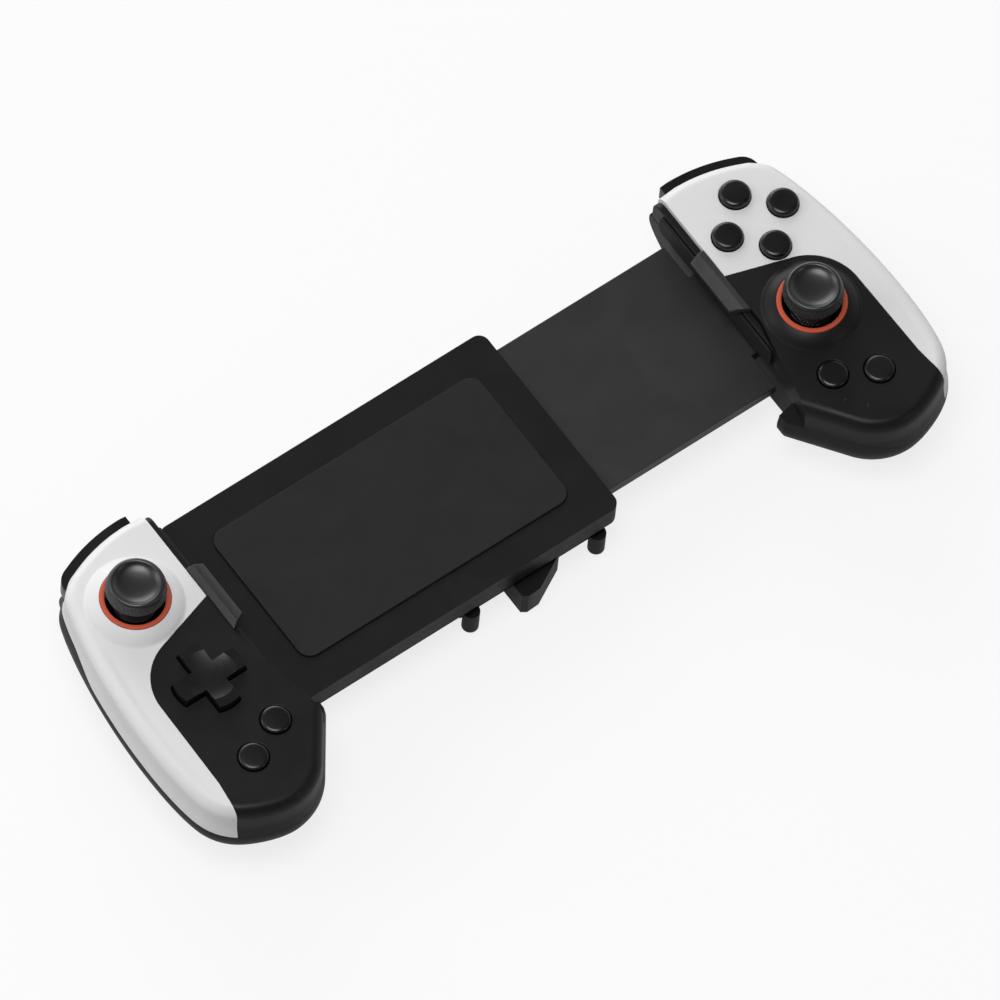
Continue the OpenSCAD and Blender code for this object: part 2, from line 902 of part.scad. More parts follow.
module sleeve_back() {
    color(black)
        on_bridge()
            difference() {
                translate([0, 0, sleeve_bottom])
                    linear_extrude(sleeve_split - sleeve_bottom) {
                        round_area([bay_left, -sleeve_width / 2], [sleeve_end, sleeve_width / 2], 3);
                        translate([bay_left - tongue_length, -tongue_width / 2])
                            square([tongue_length + 5, tongue_width]);
                    }
                sleeve_channel();
                block([bay_left - tongue_length - 1, -4.3, cable_floor],
                    [cable_turn + 4, 4.3, sleeve_split + 1]);
                for (x = screw_row)
                    for (side = [-1, 1])
                        translate([x, side * screw_side, sleeve_bottom - 1]) {
                            cylinder(h = 2.2, r = 1.4 + fit_gap);
                            cylinder(h = 8, r = 0.8 + fit_gap);
                        }
            }
}

module seat_pad() {
    color(rubber) on_bridge() translate([0, 0, sleeve_top - 0.4]) linear_extrude(1) seat_area();
}

// Block on the back of the sleeve with one wide foot between two small ones
module rear_rest() {
    low = 1;
    edge = -29;
    color(black)
        on_bridge()
            translate([rest_middle, 0, 0]) {
                translate([-23, 0, 0])
                    rotate([90, 0, 90])
                        linear_extrude(45)
                            polygon([[edge, sleeve_bottom], [edge, 6], [edge + 3, 2.4], [12, 2.4],
                                [20, sleeve_bottom]]);
                for (x = [-20.3, 20.3])
                    translate([x, edge - 1, low]) cylinder(h = 8, r = 2.3);
                translate([0, 0, low])
                    linear_extrude(9)
                        polygon([[-7.3, edge + 4], [-7.3, edge - 5.4], [-5.8, edge - 6.4], [-2, edge - 6.2],
                            [8, edge - 0.8], [8, edge + 4]]);
            }
}

module sleeve_screws() {
    color(metal)
        on_bridge()
            for (x = screw_row)
                for (side = [-1, 1])
                    translate([x, side * screw_side, sleeve_bottom]) {
                        cylinder(h = 1.2, r = 1.4);
                        cylinder(h = sleeve_split - sleeve_bottom + 2.2, r = 0.8);
                    }
}

module tension_springs() {
    color(metal)
        on_bridge()
            for (side = [-1, 1])
                translate([0, side * 17, rail_middle])
                    coil(spring_reach[0], spring_reach[1], 1.3, spring_wire, 10);
}

// Flat cable between the grips: along the back of the sleeve, round one bend, and on inside the rail
module ribbon_cable() {
    thick = 0.25;
    bend = (rail_middle - cable_floor - thick / 2) / 2;
    color(orange)
        on_bridge() {
            block([bay_left - tongue_length + 3, -4, cable_floor], [cable_turn, 4, cable_floor + thick]);
            block([cable_turn, -4, rail_middle - thick / 2],
                [bay_right + tongue_length - 3, 4, rail_middle + thick / 2]);
            translate([cable_turn, 4, cable_floor + thick / 2 + bend])
                rotate([90, 0, 0])
                    rotate([0, 0, 90])
                        rotate_extrude(angle = 180)
                            translate([bend - thick / 2, 0]) square([thick, 8]);
        }
}

// Rail of the right grip: stops at its held end, a tunnel for the cable, and a tongue into the grip
module rail() {
    color(grey)
        on_bridge()
            difference() {
                translate([0, 0, rail_bottom])
                    linear_extrude(rail_thickness) {
                        translate([rail_end, -rail_width / 2]) square([bay_right - rail_end, rail_width]);
                        translate([rail_end, -groove_width / 2 + move_gap])
                            square([4, groove_width - 2 * move_gap]);
                        translate([bay_right - 5, -tongue_width / 2])
                            square([tongue_length + 5, tongue_width]);
                    }
                block([rail_end - 1, -4.5, rail_middle - 1],
                    [bay_right + tongue_length + 1, 4.5, rail_middle + 1]);
            }
}

module right_white_cover() {
    color(white) on_right() white_cut() right_front();
}

module right_black_cover() {
    color(black) on_right() black_cut() right_front();
}

module right_rear_shell() {
    color(black)
        difference() {
            on_right()
                rear_shell(rail_bottom, rail_top)
                    block([9, -54, 0], [20, -48, 9.4]);
            on_right() translate([14.5, -40, 11]) rotate([90, 0, 0]) linear_extrude(30) socket_area(fit_gap);
        }
}

module right_end_frame() {
    color(black) on_right() end_frame();
}

module right_phone_pad() {
    color(rubber) on_right() phone_pad();
}

module right_phone_clip() {
    color(grey) on_right() phone_clip();
}

module right_stick_ring() {
    color(orange) on_right() stick_ring(lower);
}

module right_stick_housing() {
    color(metal) on_right() stick_housing(lower);
}

module right_board() {
    color(green) on_right() board();
}

module right_membrane() {
    color(rubber)
        on_right() {
            small_domes();
            face_domes();
        }
}

module right_trigger_pin() {
    color(metal) on_right() trigger_pin();
}

module right_trigger_spring() {
    color(metal) on_right() trigger_spring();
}

module right_screws() {
    color(metal) on_right() grip_screws();
}

module socket_area(grow = 0) {
    round_area([-4.5 - grow, -1.6 - grow], [4.5 + grow, 1.6 + grow], 1.5 + grow);
}

// Metal shell of the charging socket with its tongue
module charging_socket() {
    color(metal)
        on_right()
            translate([14.5, 2.8 - grip_bottom, 11])
                rotate([-90, 0, 0]) {
                    difference() {
                        linear_extrude(7.3) socket_area();
                        translate([0, 0, -1]) linear_extrude(7.3) socket_area(-0.3);
                    }
                    block([-3.3, -0.35, 0.6], [3.3, 0.35, 7]);
                }
}

module indicator_lights() {
    color(white)
        on_right()
            for (p = light_places)
                at(p) {
                    translate([0, 0, board_top]) cylinder(h = face_height - board_top - wall - 0.3, r = 1);
                    translate([0, 0, board_top]) cylinder(h = face_height - board_top - 0.05, r = 0.6);
                }
}

module right_stick_gimbal() {
    color(metal) on_right() stick_gimbal(lower);
}

module right_stick_shaft() {
    color(metal) on_right() stick_shaft(lower);
}

module right_stick_cap() {
    color(black) on_right() stick_cap(lower);
}

module face_button_top() {
    color(black) on_right() face_button(90);
}

module face_button_right() {
    color(black) on_right() face_button(0);
}

module face_button_bottom() {
    color(black) on_right() face_button(270);
}

module face_button_left() {
    color(black) on_right() face_button(180);
}

module right_button_inner() {
    color(black) on_right() small_button(inner_small);
}

module right_button_outer() {
    color(black) on_right() small_button(outer_small);
}

module right_shoulder() {
    color(black) on_right() shoulder_button();
}

module right_trigger() {
    color(black) on_right() trigger();
}

left_white_cover();
left_black_cover();
left_rear_shell();
left_end_frame();
left_phone_pad();
left_phone_clip();
left_stick_ring();
left_stick_housing();
left_board();
left_membrane();
left_trigger_pin();
left_trigger_spring();
left_screws();
battery();
left_stick_gimbal();
left_stick_shaft();
left_stick_cap();
cross_rocker();
cross_pad();
left_button_inner();
left_button_outer();
left_shoulder();
left_trigger();
sleeve_front();
sleeve_back();
seat_pad();
rear_rest();
sleeve_screws();
tension_springs();
ribbon_cable();
rail();
right_white_cover();
right_black_cover();
right_rear_shell();
right_end_frame();
right_phone_pad();
right_phone_clip();
right_stick_ring();
right_stick_housing();
right_board();
right_membrane();
right_trigger_pin();
right_trigger_spring();
right_screws();
charging_socket();
indicator_lights();
right_stick_gimbal();
right_stick_shaft();
right_stick_cap();
face_button_top();
face_button_right();
face_button_bottom();
face_button_left();
right_button_inner();
right_button_outer();
right_shoulder();
right_trigger();
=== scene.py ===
import math
import bmesh
import bpy
import numpy as np
from mathutils import Matrix, Vector


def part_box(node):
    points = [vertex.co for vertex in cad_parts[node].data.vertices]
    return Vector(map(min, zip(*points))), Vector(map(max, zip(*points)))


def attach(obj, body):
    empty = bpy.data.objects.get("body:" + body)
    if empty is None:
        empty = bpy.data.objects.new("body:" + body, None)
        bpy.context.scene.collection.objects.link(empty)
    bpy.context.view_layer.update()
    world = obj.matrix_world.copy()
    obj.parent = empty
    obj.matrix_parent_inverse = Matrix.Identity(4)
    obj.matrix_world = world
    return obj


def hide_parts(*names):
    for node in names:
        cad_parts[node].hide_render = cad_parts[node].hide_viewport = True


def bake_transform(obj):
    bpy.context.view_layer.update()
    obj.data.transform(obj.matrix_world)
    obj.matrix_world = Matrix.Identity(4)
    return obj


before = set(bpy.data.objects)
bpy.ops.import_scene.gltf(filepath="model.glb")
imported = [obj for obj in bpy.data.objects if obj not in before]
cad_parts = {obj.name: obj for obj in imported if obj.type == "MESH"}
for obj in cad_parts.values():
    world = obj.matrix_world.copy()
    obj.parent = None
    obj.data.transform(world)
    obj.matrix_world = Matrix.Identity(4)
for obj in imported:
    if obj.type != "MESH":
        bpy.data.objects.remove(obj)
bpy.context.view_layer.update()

# Rear shells: the deep housings that the fingers wrap round, one for each grip.
# Injection moulded in black plastic with a fine spark-eroded texture, wall about 2 mm.
# Screws in deep wells draw them up to the front covers; the triggers hang in a slot at the top.
MM = 0.001
BAY_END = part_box("right_phone_pad")[0].x / MM
CENTRE_Y = (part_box("sleeve_front")[0].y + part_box("sleeve_front")[1].y) / 2 / MM
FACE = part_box("left_black_cover")[1].z / MM
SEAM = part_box("right_end_frame")[0].z / MM
GRIP_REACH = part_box("right_rear_shell")[1].x / MM - BAY_END
GRIP_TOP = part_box("right_white_cover")[1].y / MM - CENTRE_Y
GRIP_LOW = CENTRE_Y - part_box("right_rear_shell")[0].y / MM
WALL = 2.0
BULGE = 1.0
REAR_RIM = 0.8
HEART = np.array([17.0, -20.0])
TOP_ARC, TOP_ARC_X, TOP_ROUND = 46.6, 7.7, 2.0
top_sweep = TOP_ARC - TOP_ROUND
top_edge = [[TOP_ARC_X + top_sweep * math.cos(t), GRIP_TOP - TOP_ARC + top_sweep * math.sin(t), TOP_ROUND]
            for t in np.radians(np.linspace(90, 62, 15))]
bay_corners = [[-5.4, GRIP_TOP - 2.2, 1.0], [-5.0, -35.7, 1.0]]
outer_corners = [[GRIP_REACH - 14.4, GRIP_TOP - 12.5, 7.7], [GRIP_REACH - 12.4, -22.2, 12.4 - BULGE],
                 [GRIP_REACH - 17.5, 19.1 - GRIP_LOW, 15.9], [18.3, 17.8 - GRIP_LOW, 17.8 - BULGE]]
PLAN_CIRCLES = np.array(top_edge + bay_corners + outer_corners)


def directions(count):
    turns = np.linspace(0, 2 * math.pi, count, endpoint=False)
    return np.stack([np.cos(turns), np.sin(turns)], axis=1)


def eased(t):
    t = np.clip(t, 0, 1)
    return t * t * (3 - 2 * t)


def turns_of(rays):
    return np.degrees(np.arctan2(rays[:, 1], rays[:, 0]))


def outer_share(rays, low=-125, high=70, fade=25):
    return eased((turns_of(rays) - low) / fade) * eased((high - turns_of(rays)) / fade)


PLAN_STEPS, PLAN_SOFTENING, PLAN_TRIM = 900, 83, 0.02
PLAN_NORMALS = directions(PLAN_STEPS)
sharp_reach = (PLAN_CIRCLES[:, :2] @ PLAN_NORMALS.T + PLAN_CIRCLES[:, 2:]).max(axis=0) - PLAN_NORMALS @ HEART
window = np.hanning(PLAN_SOFTENING) / np.hanning(PLAN_SOFTENING).sum()
soft_reach = np.convolve(np.tile(sharp_reach, 3), window, "same")[PLAN_STEPS:2 * PLAN_STEPS]
swell = np.interp(turns_of(PLAN_NORMALS), [-90, 0], (soft_reach - sharp_reach)[[3 * PLAN_STEPS // 4, 0]])
softening = soft_reach - swell - sharp_reach - PLAN_TRIM
PLAN_REACH = sharp_reach + softening * outer_share(PLAN_NORMALS) + PLAN_NORMALS @ HEART


def cast_outline(rays, normals, reach):
    room = reach - normals @ HEART
    slope = rays @ normals.T
    hits = np.where(slope > 1e-6, room / np.where(slope > 1e-6, slope, 1), 1e9).min(axis=1)
    return HEART + rays * hits[:, None]


def grip_ring(rays, inset, top_cut=0.0, rounding=0.0):
    normals = np.vstack([PLAN_NORMALS, [[0.0, 1.0]]])
    ring = cast_outline(rays, normals, np.append(PLAN_REACH - inset - rounding, GRIP_TOP - top_cut - rounding))
    if rounding > 0:
        ring = cast_outline(rays, PLAN_NORMALS, (ring @ PLAN_NORMALS.T).max(axis=0) + rounding)
    return ring


def smooth_path(points, steps):
    points = np.array(points, float)
    ends = np.vstack([2 * points[0] - points[1], points, 2 * points[-1] - points[-2]])
    path = []
    for a, b, c, d in zip(ends, ends[1:], ends[2:], ends[3:]):
        for t in np.arange(steps) / steps:
            path.append(0.5 * (2 * b + (c - a) * t + (2 * a - 5 * b + 4 * c - d) * t ** 2
                               + (3 * b - a - 3 * c + d) * t ** 3))
    return np.array(path + [points[-1]])


def blank(name, points, faces):
    mesh = bpy.data.meshes.new(name)
    mesh.from_pydata([tuple(map(float, p)) for p in points], [], faces)
    work = bpy.data.objects.new(name, mesh)
    bpy.context.scene.collection.objects.link(work)
    return work


def stacked(name, outlines, heights):
    count = len(outlines[0])
    points = [(x, y, z) for outline, level in zip(outlines, heights)
              for (x, y), z in zip(outline, np.broadcast_to(level, count))]
    faces = [tuple(range(count))[::-1]]
    for i in range(len(heights) - 1):
        for k in range(count):
            n = (k + 1) % count
            faces.append((i * count + k, i * count + n, (i + 1) * count + n, (i + 1) * count + k))
    faces.append(tuple(range((len(heights) - 1) * count, len(heights) * count)))
    return blank(name, points, faces)


def turned(name, profile, place=(0.0, 0.0), segments=72, closed=False):
    points, rings, faces = [], [], []
    for r, z in profile:
        if r < 1e-6:
            rings.append([len(points)])
            points.append((place[0], place[1], z))
            continue
        rings.append(list(range(len(points), len(points) + segments)))
        points += [(place[0] + r * x, place[1] + r * y, z) for x, y in directions(segments)]
    pairs = list(zip(rings, rings[1:])) + ([(rings[-1], rings[0])] if closed else [])
    for low, high in pairs:
        for k in range(segments):
            n = (k + 1) % segments
            if len(low) == 1:
                faces.append((low[0], high[n], high[k]))
            elif len(high) == 1:
                faces.append((low[k], low[n], high[0]))
            else:
                faces.append((low[k], low[n], high[n], high[k]))
    return blank(name, points, faces)


def block(name, low, high):
    (x0, y0, z0), (x1, y1, z1) = low, high
    return stacked(name, [[(x0, y0), (x1, y0), (x1, y1), (x0, y1)]] * 2, [z0, z1])


def carve(work, how, *tools):
    for tool in tools:
        cut = work.modifiers.new("cut", "BOOLEAN")
        cut.operation = how
        cut.solver = "MANIFOLD"
        cut.object = tool
        shaped = bpy.data.meshes.new_from_object(work.evaluated_get(bpy.context.evaluated_depsgraph_get()))
        work.modifiers.clear()
        used = work.data
        work.data = shaped
        bpy.data.meshes.remove(used)
        bpy.data.objects.remove(tool)
    return work


def twin(work, name):
    copy = bpy.data.objects.new(name, work.data.copy())
    bpy.context.scene.collection.objects.link(copy)
    return copy


# Each level of a grip is its height, the inset of its plan and the cut from its top edge.
REAR_LEVELS = [(0, 15, 28), (0.9, 12.4, 24), (3.0, 8.9, 19), (7.0, 4.5, 12), (11.8, 0.6, 5.4), (14.6, -0.75, 2.2),
               (17.2, -BULGE, 0.4), (19.8, -0.6, 0), (22.6, -0.12, 0), (26.4, 0.1, 0)]
EDGE_DROP, EDGE_RUN, EDGE_START = 3.6, 3.1, 0.1
SOFT_LINE = [(3.6, 0.04), (4.0, 0.1), (4.5, 0.16), (4.9, 0.17), (5.4, 0.14), (6.0, 0.08), (6.7, 0.03), (7.4, 0)]


def body_levels(offset=0.0):
    rear = smooth_path(REAR_LEVELS, 4)[:-1]
    edge = [(FACE - EDGE_DROP + EDGE_DROP * math.sin(a), EDGE_START + EDGE_RUN * (1 - math.cos(a)), 0)
            for a in np.linspace(0, math.pi / 2, 12)]
    levels = np.vstack([rear, edge])
    if offset:
        levels = levels[::3] if offset > 0 else levels
        levels[:, 0] = offset + levels[:, 0] * (FACE - 2 * offset) / FACE
        levels[:, 1:] += offset
    return levels


def corner_rounding(height, inset, offset, most=5.0, growth=0.55, start=0.4, flat=18.5):
    return max(0.0, min(most, growth * (inset - offset - start), flat - inset)) if height < SEAM else 0.0


def grip_body(name, offset=0.0, count=480):
    rays = directions(count)
    levels = body_levels(offset)
    rings = [grip_ring(rays, inset, cut, corner_rounding(height, inset, offset)) for height, inset, cut in levels]
    heights = list(levels[:, 0])
    if not offset:
        for inset, dip in SOFT_LINE:
            rings.append(grip_ring(rays, inset, inset))
            heights.append(FACE - dip * outer_share(rays, -70))
        rings.append(HEART + (rings[-1] - HEART) * 0.985)
        heights.append(FACE)
    return stacked(name, rings, heights)


def beyond_bay(name, start, flare, rise=7.2, run=34.0, far=90):
    area = [(start - rise, -far), (far, -far), (far, far), (start, far), (start, flare), (start - rise, flare - run)]
    return stacked(name, [area] * 2, [-10, 70])


def rear_area(depth):
    return beyond_bay("area", REAR_RIM + depth, -32 - depth, 9.2, 2.0)


def seam_block(name, gap, end, dip=2.6):
    xs, ys = np.linspace(-12, 60, 49), np.linspace(-72, 48, 81)
    tops = [(x, y, SEAM + gap - dip * eased((x - 6) / 11) * eased((16 - y) / 14)) for y in ys for x in xs]
    nx, ny = len(xs), len(ys)
    ends = [(x, y, end) for x, y, z in tops]
    top = lambda i, k: k * nx + i
    low = lambda i, k: nx * ny + k * nx + i
    faces = []
    for k in range(ny - 1):
        for i in range(nx - 1):
            faces.append((top(i, k), top(i + 1, k), top(i + 1, k + 1), top(i, k + 1)))
            faces.append((low(i, k), low(i, k + 1), low(i + 1, k + 1), low(i + 1, k)))
    for i in range(nx - 1):
        faces.append((low(i, 0), low(i + 1, 0), top(i + 1, 0), top(i, 0)))
        faces.append((top(i, ny - 1), top(i + 1, ny - 1), low(i + 1, ny - 1), low(i, ny - 1)))
    for k in range(ny - 1):
        faces.append((top(0, k), top(0, k + 1), low(0, k + 1), low(0, k)))
        faces.append((low(nx - 1, k), low(nx - 1, k + 1), top(nx - 1, k + 1), top(nx - 1, k)))
    if end > SEAM:
        faces = [face[::-1] for face in faces]
    return blank(name, tops + ends, faces)


def on_edge(work, place=(19, GRIP_TOP - 3, 0), slope=math.radians(-16.5)):
    work.data.transform(Matrix.Translation(place) @ Matrix.Rotation(slope, 4, "Z"))
    return work


def settle(work, crease, level=0.99999, near_level=0.9, wide=0.6 * MM * MM):
    mesh = work.data
    mesh.shade_smooth()
    mesh.set_sharp_from_angle(angle=math.radians(crease))
    flat_points = set()
    for face in mesh.polygons:
        if abs(face.normal.z) > level and face.area > wide:
            flat_points.update((v, face.normal.z > 0) for v in face.vertices)
    normals = [n.vector.copy() for n in mesh.corner_normals]
    for face in mesh.polygons:
        for loop in face.loop_indices:
            v = mesh.loops[loop].vertex_index
            if face.normal.z > near_level and (v, True) in flat_points:
                normals[loop] = Vector((0, 0, 1))
            elif face.normal.z < -near_level and (v, False) in flat_points:
                normals[loop] = Vector((0, 0, -1))
    mesh.normals_split_custom_set(normals)


def seat(work, side, body, node, material, crease=32):
    mirror = Matrix.Diagonal((side, 1, 1, 1))
    work.data.transform(Matrix.Scale(MM, 4) @ Matrix.Translation((side * BAY_END, CENTRE_Y, 0)) @ mirror)
    if side < 0:
        work.data.flip_normals()
    settle(work, crease)
    work.data.materials.clear()
    work.data.materials.append(material)
    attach(work, body)
    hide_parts(node)
    return work


def add(tree, kind, settings=None, **sockets):
    made = tree.nodes.new(kind)
    for key, value in (settings or {}).items():
        setattr(made, key, value)
    for key, value in sockets.items():
        numbered = key.startswith("at") and key[2:].isdigit()
        socket = made.inputs[int(key[2:]) if numbered else key.replace("_", " ")]
        if isinstance(value, bpy.types.NodeSocket):
            tree.links.new(value, socket)
        else:
            socket.default_value = value
    return made


def shared_effect(name, inputs, outputs):
    tree = bpy.data.node_groups.new(name, "ShaderNodeTree")
    for label, value in inputs:
        tree.interface.new_socket(label, in_out="INPUT", socket_type="NodeSocketFloat").default_value = value
    for label in outputs:
        tree.interface.new_socket(label, in_out="OUTPUT", socket_type="NodeSocketFloat")
    return tree, tree.nodes.new("NodeGroupInput"), tree.nodes.new("NodeGroupOutput")


grain_tree, grain_in, grain_out = shared_effect("Moulded Grain", [("Scale", 2600.0)], ["Height", "Tone"])
where = add(grain_tree, "ShaderNodeTexCoord").outputs["Object"]
pits = add(grain_tree, "ShaderNodeTexVoronoi", Vector=where, Scale=grain_in.outputs["Scale"])
fine = add(grain_tree, "ShaderNodeTexNoise", Vector=where, Scale=grain_in.outputs["Scale"], Detail=2.0)
slow = add(grain_tree, "ShaderNodeTexNoise", Vector=where, Scale=48.0, Detail=3.0)
rise = add(grain_tree, "ShaderNodeMath", {"operation": "MULTIPLY_ADD"}, at0=pits.outputs["Distance"], at1=0.7,
           at2=fine.outputs["Fac"])
grain_tree.links.new(rise.outputs[0], grain_out.inputs["Height"])
grain_tree.links.new(slow.outputs["Fac"], grain_out.inputs["Tone"])

wear_tree, wear_in, wear_out = shared_effect("Edge Wear", [("Radius", 0.0005)], ["Mask"])
rounded = add(wear_tree, "ShaderNodeBevel", {"samples": 6}, Radius=wear_in.outputs["Radius"])
facing = add(wear_tree, "ShaderNodeVectorMath", {"operation": "DOT_PRODUCT"}, at0=rounded.outputs["Normal"],
             at1=add(wear_tree, "ShaderNodeNewGeometry").outputs["Normal"])
edge = add(wear_tree, "ShaderNodeMapRange", Value=facing.outputs["Value"], From_Min=0.995, From_Max=0.86)
patch = add(wear_tree, "ShaderNodeTexNoise", Vector=add(wear_tree, "ShaderNodeTexCoord").outputs["Object"],
            Scale=420.0, Detail=3.0)
broken = add(wear_tree, "ShaderNodeMapRange", Value=patch.outputs["Fac"], From_Min=0.38, From_Max=0.62)
worn = add(wear_tree, "ShaderNodeMath", {"operation": "MULTIPLY"}, at0=edge.outputs[0], at1=broken.outputs[0])
wear_tree.links.new(worn.outputs[0], wear_out.inputs["Mask"])

marks_tree, marks_in, marks_out = shared_effect("Handling Marks", [("Scale", 60.0)], ["Smudge"])
touch = add(marks_tree, "ShaderNodeTexNoise", Vector=add(marks_tree, "ShaderNodeTexCoord").outputs["Object"],
            Scale=marks_in.outputs["Scale"], Detail=4.0, Distortion=1.1)
smudge = add(marks_tree, "ShaderNodeMapRange", Value=touch.outputs["Fac"], From_Min=0.3, From_Max=0.7)
marks_tree.links.new(smudge.outputs[0], marks_out.inputs["Smudge"])


def new_material(name):
    made = bpy.data.materials.new(name)
    made.use_nodes = True
    made.node_tree.nodes.clear()
    return made, made.node_tree


def effect(tree, shared, **sockets):
    made = add(tree, "ShaderNodeGroup", {"node_tree": shared})
    for key, value in sockets.items():
        made.inputs[key].default_value = value
    return made


def mixed(tree, factor, a, b):
    made = add(tree, "ShaderNodeMix", {"data_type": "RGBA"})
    tree.links.new(factor, made.inputs["Factor"])
    for socket, value in ((made.inputs[6], a), (made.inputs[7], b)):
        if isinstance(value, bpy.types.NodeSocket):
            tree.links.new(value, socket)
        else:
            socket.default_value = (*value, 1)
    return made.outputs[2]


def spread(tree, value, low, high):
    return add(tree, "ShaderNodeMapRange", Value=value, To_Min=low, To_Max=high).outputs[0]


def moulded_plastic(name, colour, other, worn_colour, roughness, grain=2600.0, depth=0.00002, wear=0.35,
                    specular=0.5, bump=0.25):
    made, tree = new_material(name)
    skin = effect(tree, grain_tree, Scale=grain)
    marks = effect(tree, marks_tree)
    rubbed = effect(tree, wear_tree)
    amount = add(tree, "ShaderNodeMath", {"operation": "MULTIPLY"}, at0=rubbed.outputs["Mask"], at1=wear).outputs[0]
    base = mixed(tree, amount, mixed(tree, skin.outputs["Tone"], colour, other), worn_colour)
    raised = add(tree, "ShaderNodeBump", Strength=bump, Distance=depth, Height=skin.outputs["Height"])
    surface = add(tree, "ShaderNodeBsdfPrincipled", Base_Color=base, Normal=raised.outputs["Normal"],
                  Roughness=spread(tree, marks.outputs["Smudge"], roughness - 0.05, roughness + 0.05),
                  Specular_IOR_Level=specular)
    add(tree, "ShaderNodeOutputMaterial", Surface=surface.outputs["BSDF"])
    return made


black_plastic = moulded_plastic("black moulded plastic", (0.0085, 0.0085, 0.009), (0.0105, 0.0105, 0.011),
                                (0.024, 0.024, 0.025), 0.44, specular=0.18)


def socket_tube(name, grow, start, stop):
    low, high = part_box("charging_socket")
    middle = ((low.x + high.x) / 2 / MM - BAY_END, (low.z + high.z) / 2 / MM)
    half = ((high.x - low.x) / 2 / MM + grow, (high.z - low.z) / 2 / MM + grow)
    outline = [(middle[0] + (half[0] - half[1]) * math.copysign(1, math.cos(t)) + half[1] * math.cos(t),
                middle[1] + half[1] * math.sin(t)) for t in np.linspace(0.03, 2 * math.pi + 0.03, 48, endpoint=False)]
    tube = stacked(name, [outline] * 2, [start, stop])
    tube.data.transform(Matrix.Rotation(math.pi / 2, 4, "X"))
    return tube


screw_places = [(0.795 * GRIP_REACH, 0), (8.3, 20), (27.5, -33), (25, 8 - GRIP_LOW)]
COLUMN, WELL, BORE, SCREW_SEAT = 3, 2.2, 1.1, 11
column_profile = [(0, -1), (COLUMN, -1), (COLUMN, 16), (0, 16)]
well_profile = [(0, -4), (2.6, -4), (WELL, 0.4), (WELL, SCREW_SEAT), (BORE, SCREW_SEAT), (BORE, 20), (0, 20)]
TRIGGER_ROOM, TRIGGER_BACK, TRIGGER_FLOOR = 10.9, -9.5, FACE - 26.5
heel_area = [(-20, -50), (-6.2, -50), (4, -15), (-20, -15)]
TONGUE_ROOM = 14.1
for side, hand, tongue in ((-1, "left", "sleeve_back"), (1, "right", "rail")):
    shell = carve(grip_body(hand + "_rear_housing"), "INTERSECT", rear_area(0))
    hollow = carve(grip_body("hollow", WALL, 160), "INTERSECT", rear_area(WALL))
    carve(hollow, "DIFFERENCE", stacked("heel roof", [heel_area] * 2, [SEAM - WALL, 60]))
    carve(shell, "DIFFERENCE", hollow)
    carve(shell, "INTERSECT", seam_block("below", -0.05, -20))
    carve(shell, "DIFFERENCE", on_edge(block("slot", (-TRIGGER_ROOM, TRIGGER_BACK, TRIGGER_FLOOR),
                                             (TRIGGER_ROOM, 30, SEAM - 1.4))))
    for place in screw_places:
        column = carve(turned("column", column_profile, place, 40), "INTERSECT", grip_body("outer", 0.3, 160))
        carve(shell, "UNION", column)
    for place in screw_places:
        carve(shell, "DIFFERENCE", turned("well", well_profile, place, 40))
    low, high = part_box(tongue)
    carve(shell, "DIFFERENCE", block("tongue room", (-5, -TONGUE_ROOM, low.z / MM),
                                     (8, TONGUE_ROOM, min(high.z / MM, SEAM) + 0.1)))
    if side > 0:
        carve(shell, "DIFFERENCE", socket_tube("socket room", 0.1, 40, 70))
    seat(shell, side, hand + "_grip", hand + "_rear_shell", black_plastic)

# Boards, membranes, stick housings, cell and socket: the works inside the grips.
# Green glass-fibre boards on posts, silicone domes on them, stamped steel boxes for the sticks.
# They sit inside the shells; the socket's steel shell shows at the right grip's lower end.
clean_tree = bpy.data.node_groups.new("Clean Corners", "GeometryNodeTree")
clean_tree.interface.new_socket("Geometry", in_out="INPUT", socket_type="NodeSocketGeometry")
clean_tree.interface.new_socket("Geometry", in_out="OUTPUT", socket_type="NodeSocketGeometry")
taken = clean_tree.nodes.new("NodeGroupInput")
given = clean_tree.nodes.new("NodeGroupOutput")
welded = add(clean_tree, "GeometryNodeMergeByDistance", Geometry=taken.outputs["Geometry"], Distance=1e-6)
bare = add(clean_tree, "GeometryNodeRemoveAttribute", Geometry=welded.outputs["Geometry"], Name="custom_normal")
soft = add(clean_tree, "GeometryNodeSetShadeSmooth", Geometry=bare.outputs["Geometry"])
angle = add(clean_tree, "GeometryNodeInputMeshEdgeAngle")
steep = add(clean_tree, "ShaderNodeMath", {"operation": "GREATER_THAN"}, at0=angle.outputs["Unsigned Angle"],
            at1=math.radians(28))
hard = add(clean_tree, "GeometryNodeSetShadeSmooth", {"domain": "EDGE"}, Geometry=soft.outputs["Geometry"],
           Selection=steep.outputs[0], Shade_Smooth=False)
clean_tree.links.new(hard.outputs["Geometry"], given.inputs["Geometry"])


def finish_node(name, material, rounding=0.2):
    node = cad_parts[name]
    node.data.materials.clear()
    node.data.materials.append(material)
    node.modifiers.new("clean corners", "NODES").node_group = clean_tree
    if rounding:
        joined = node.modifiers.new("flat faces", "DECIMATE")
        joined.decimate_type = "DISSOLVE"
        joined.angle_limit = math.radians(0.6)
        round_over = node.modifiers.new("rounded edges", "BEVEL")
        round_over.width = rounding * MM
        round_over.segments = 2
        round_over.limit_method = "ANGLE"
        round_over.angle_limit = math.radians(32)
        round_over.harden_normals = True
    return node


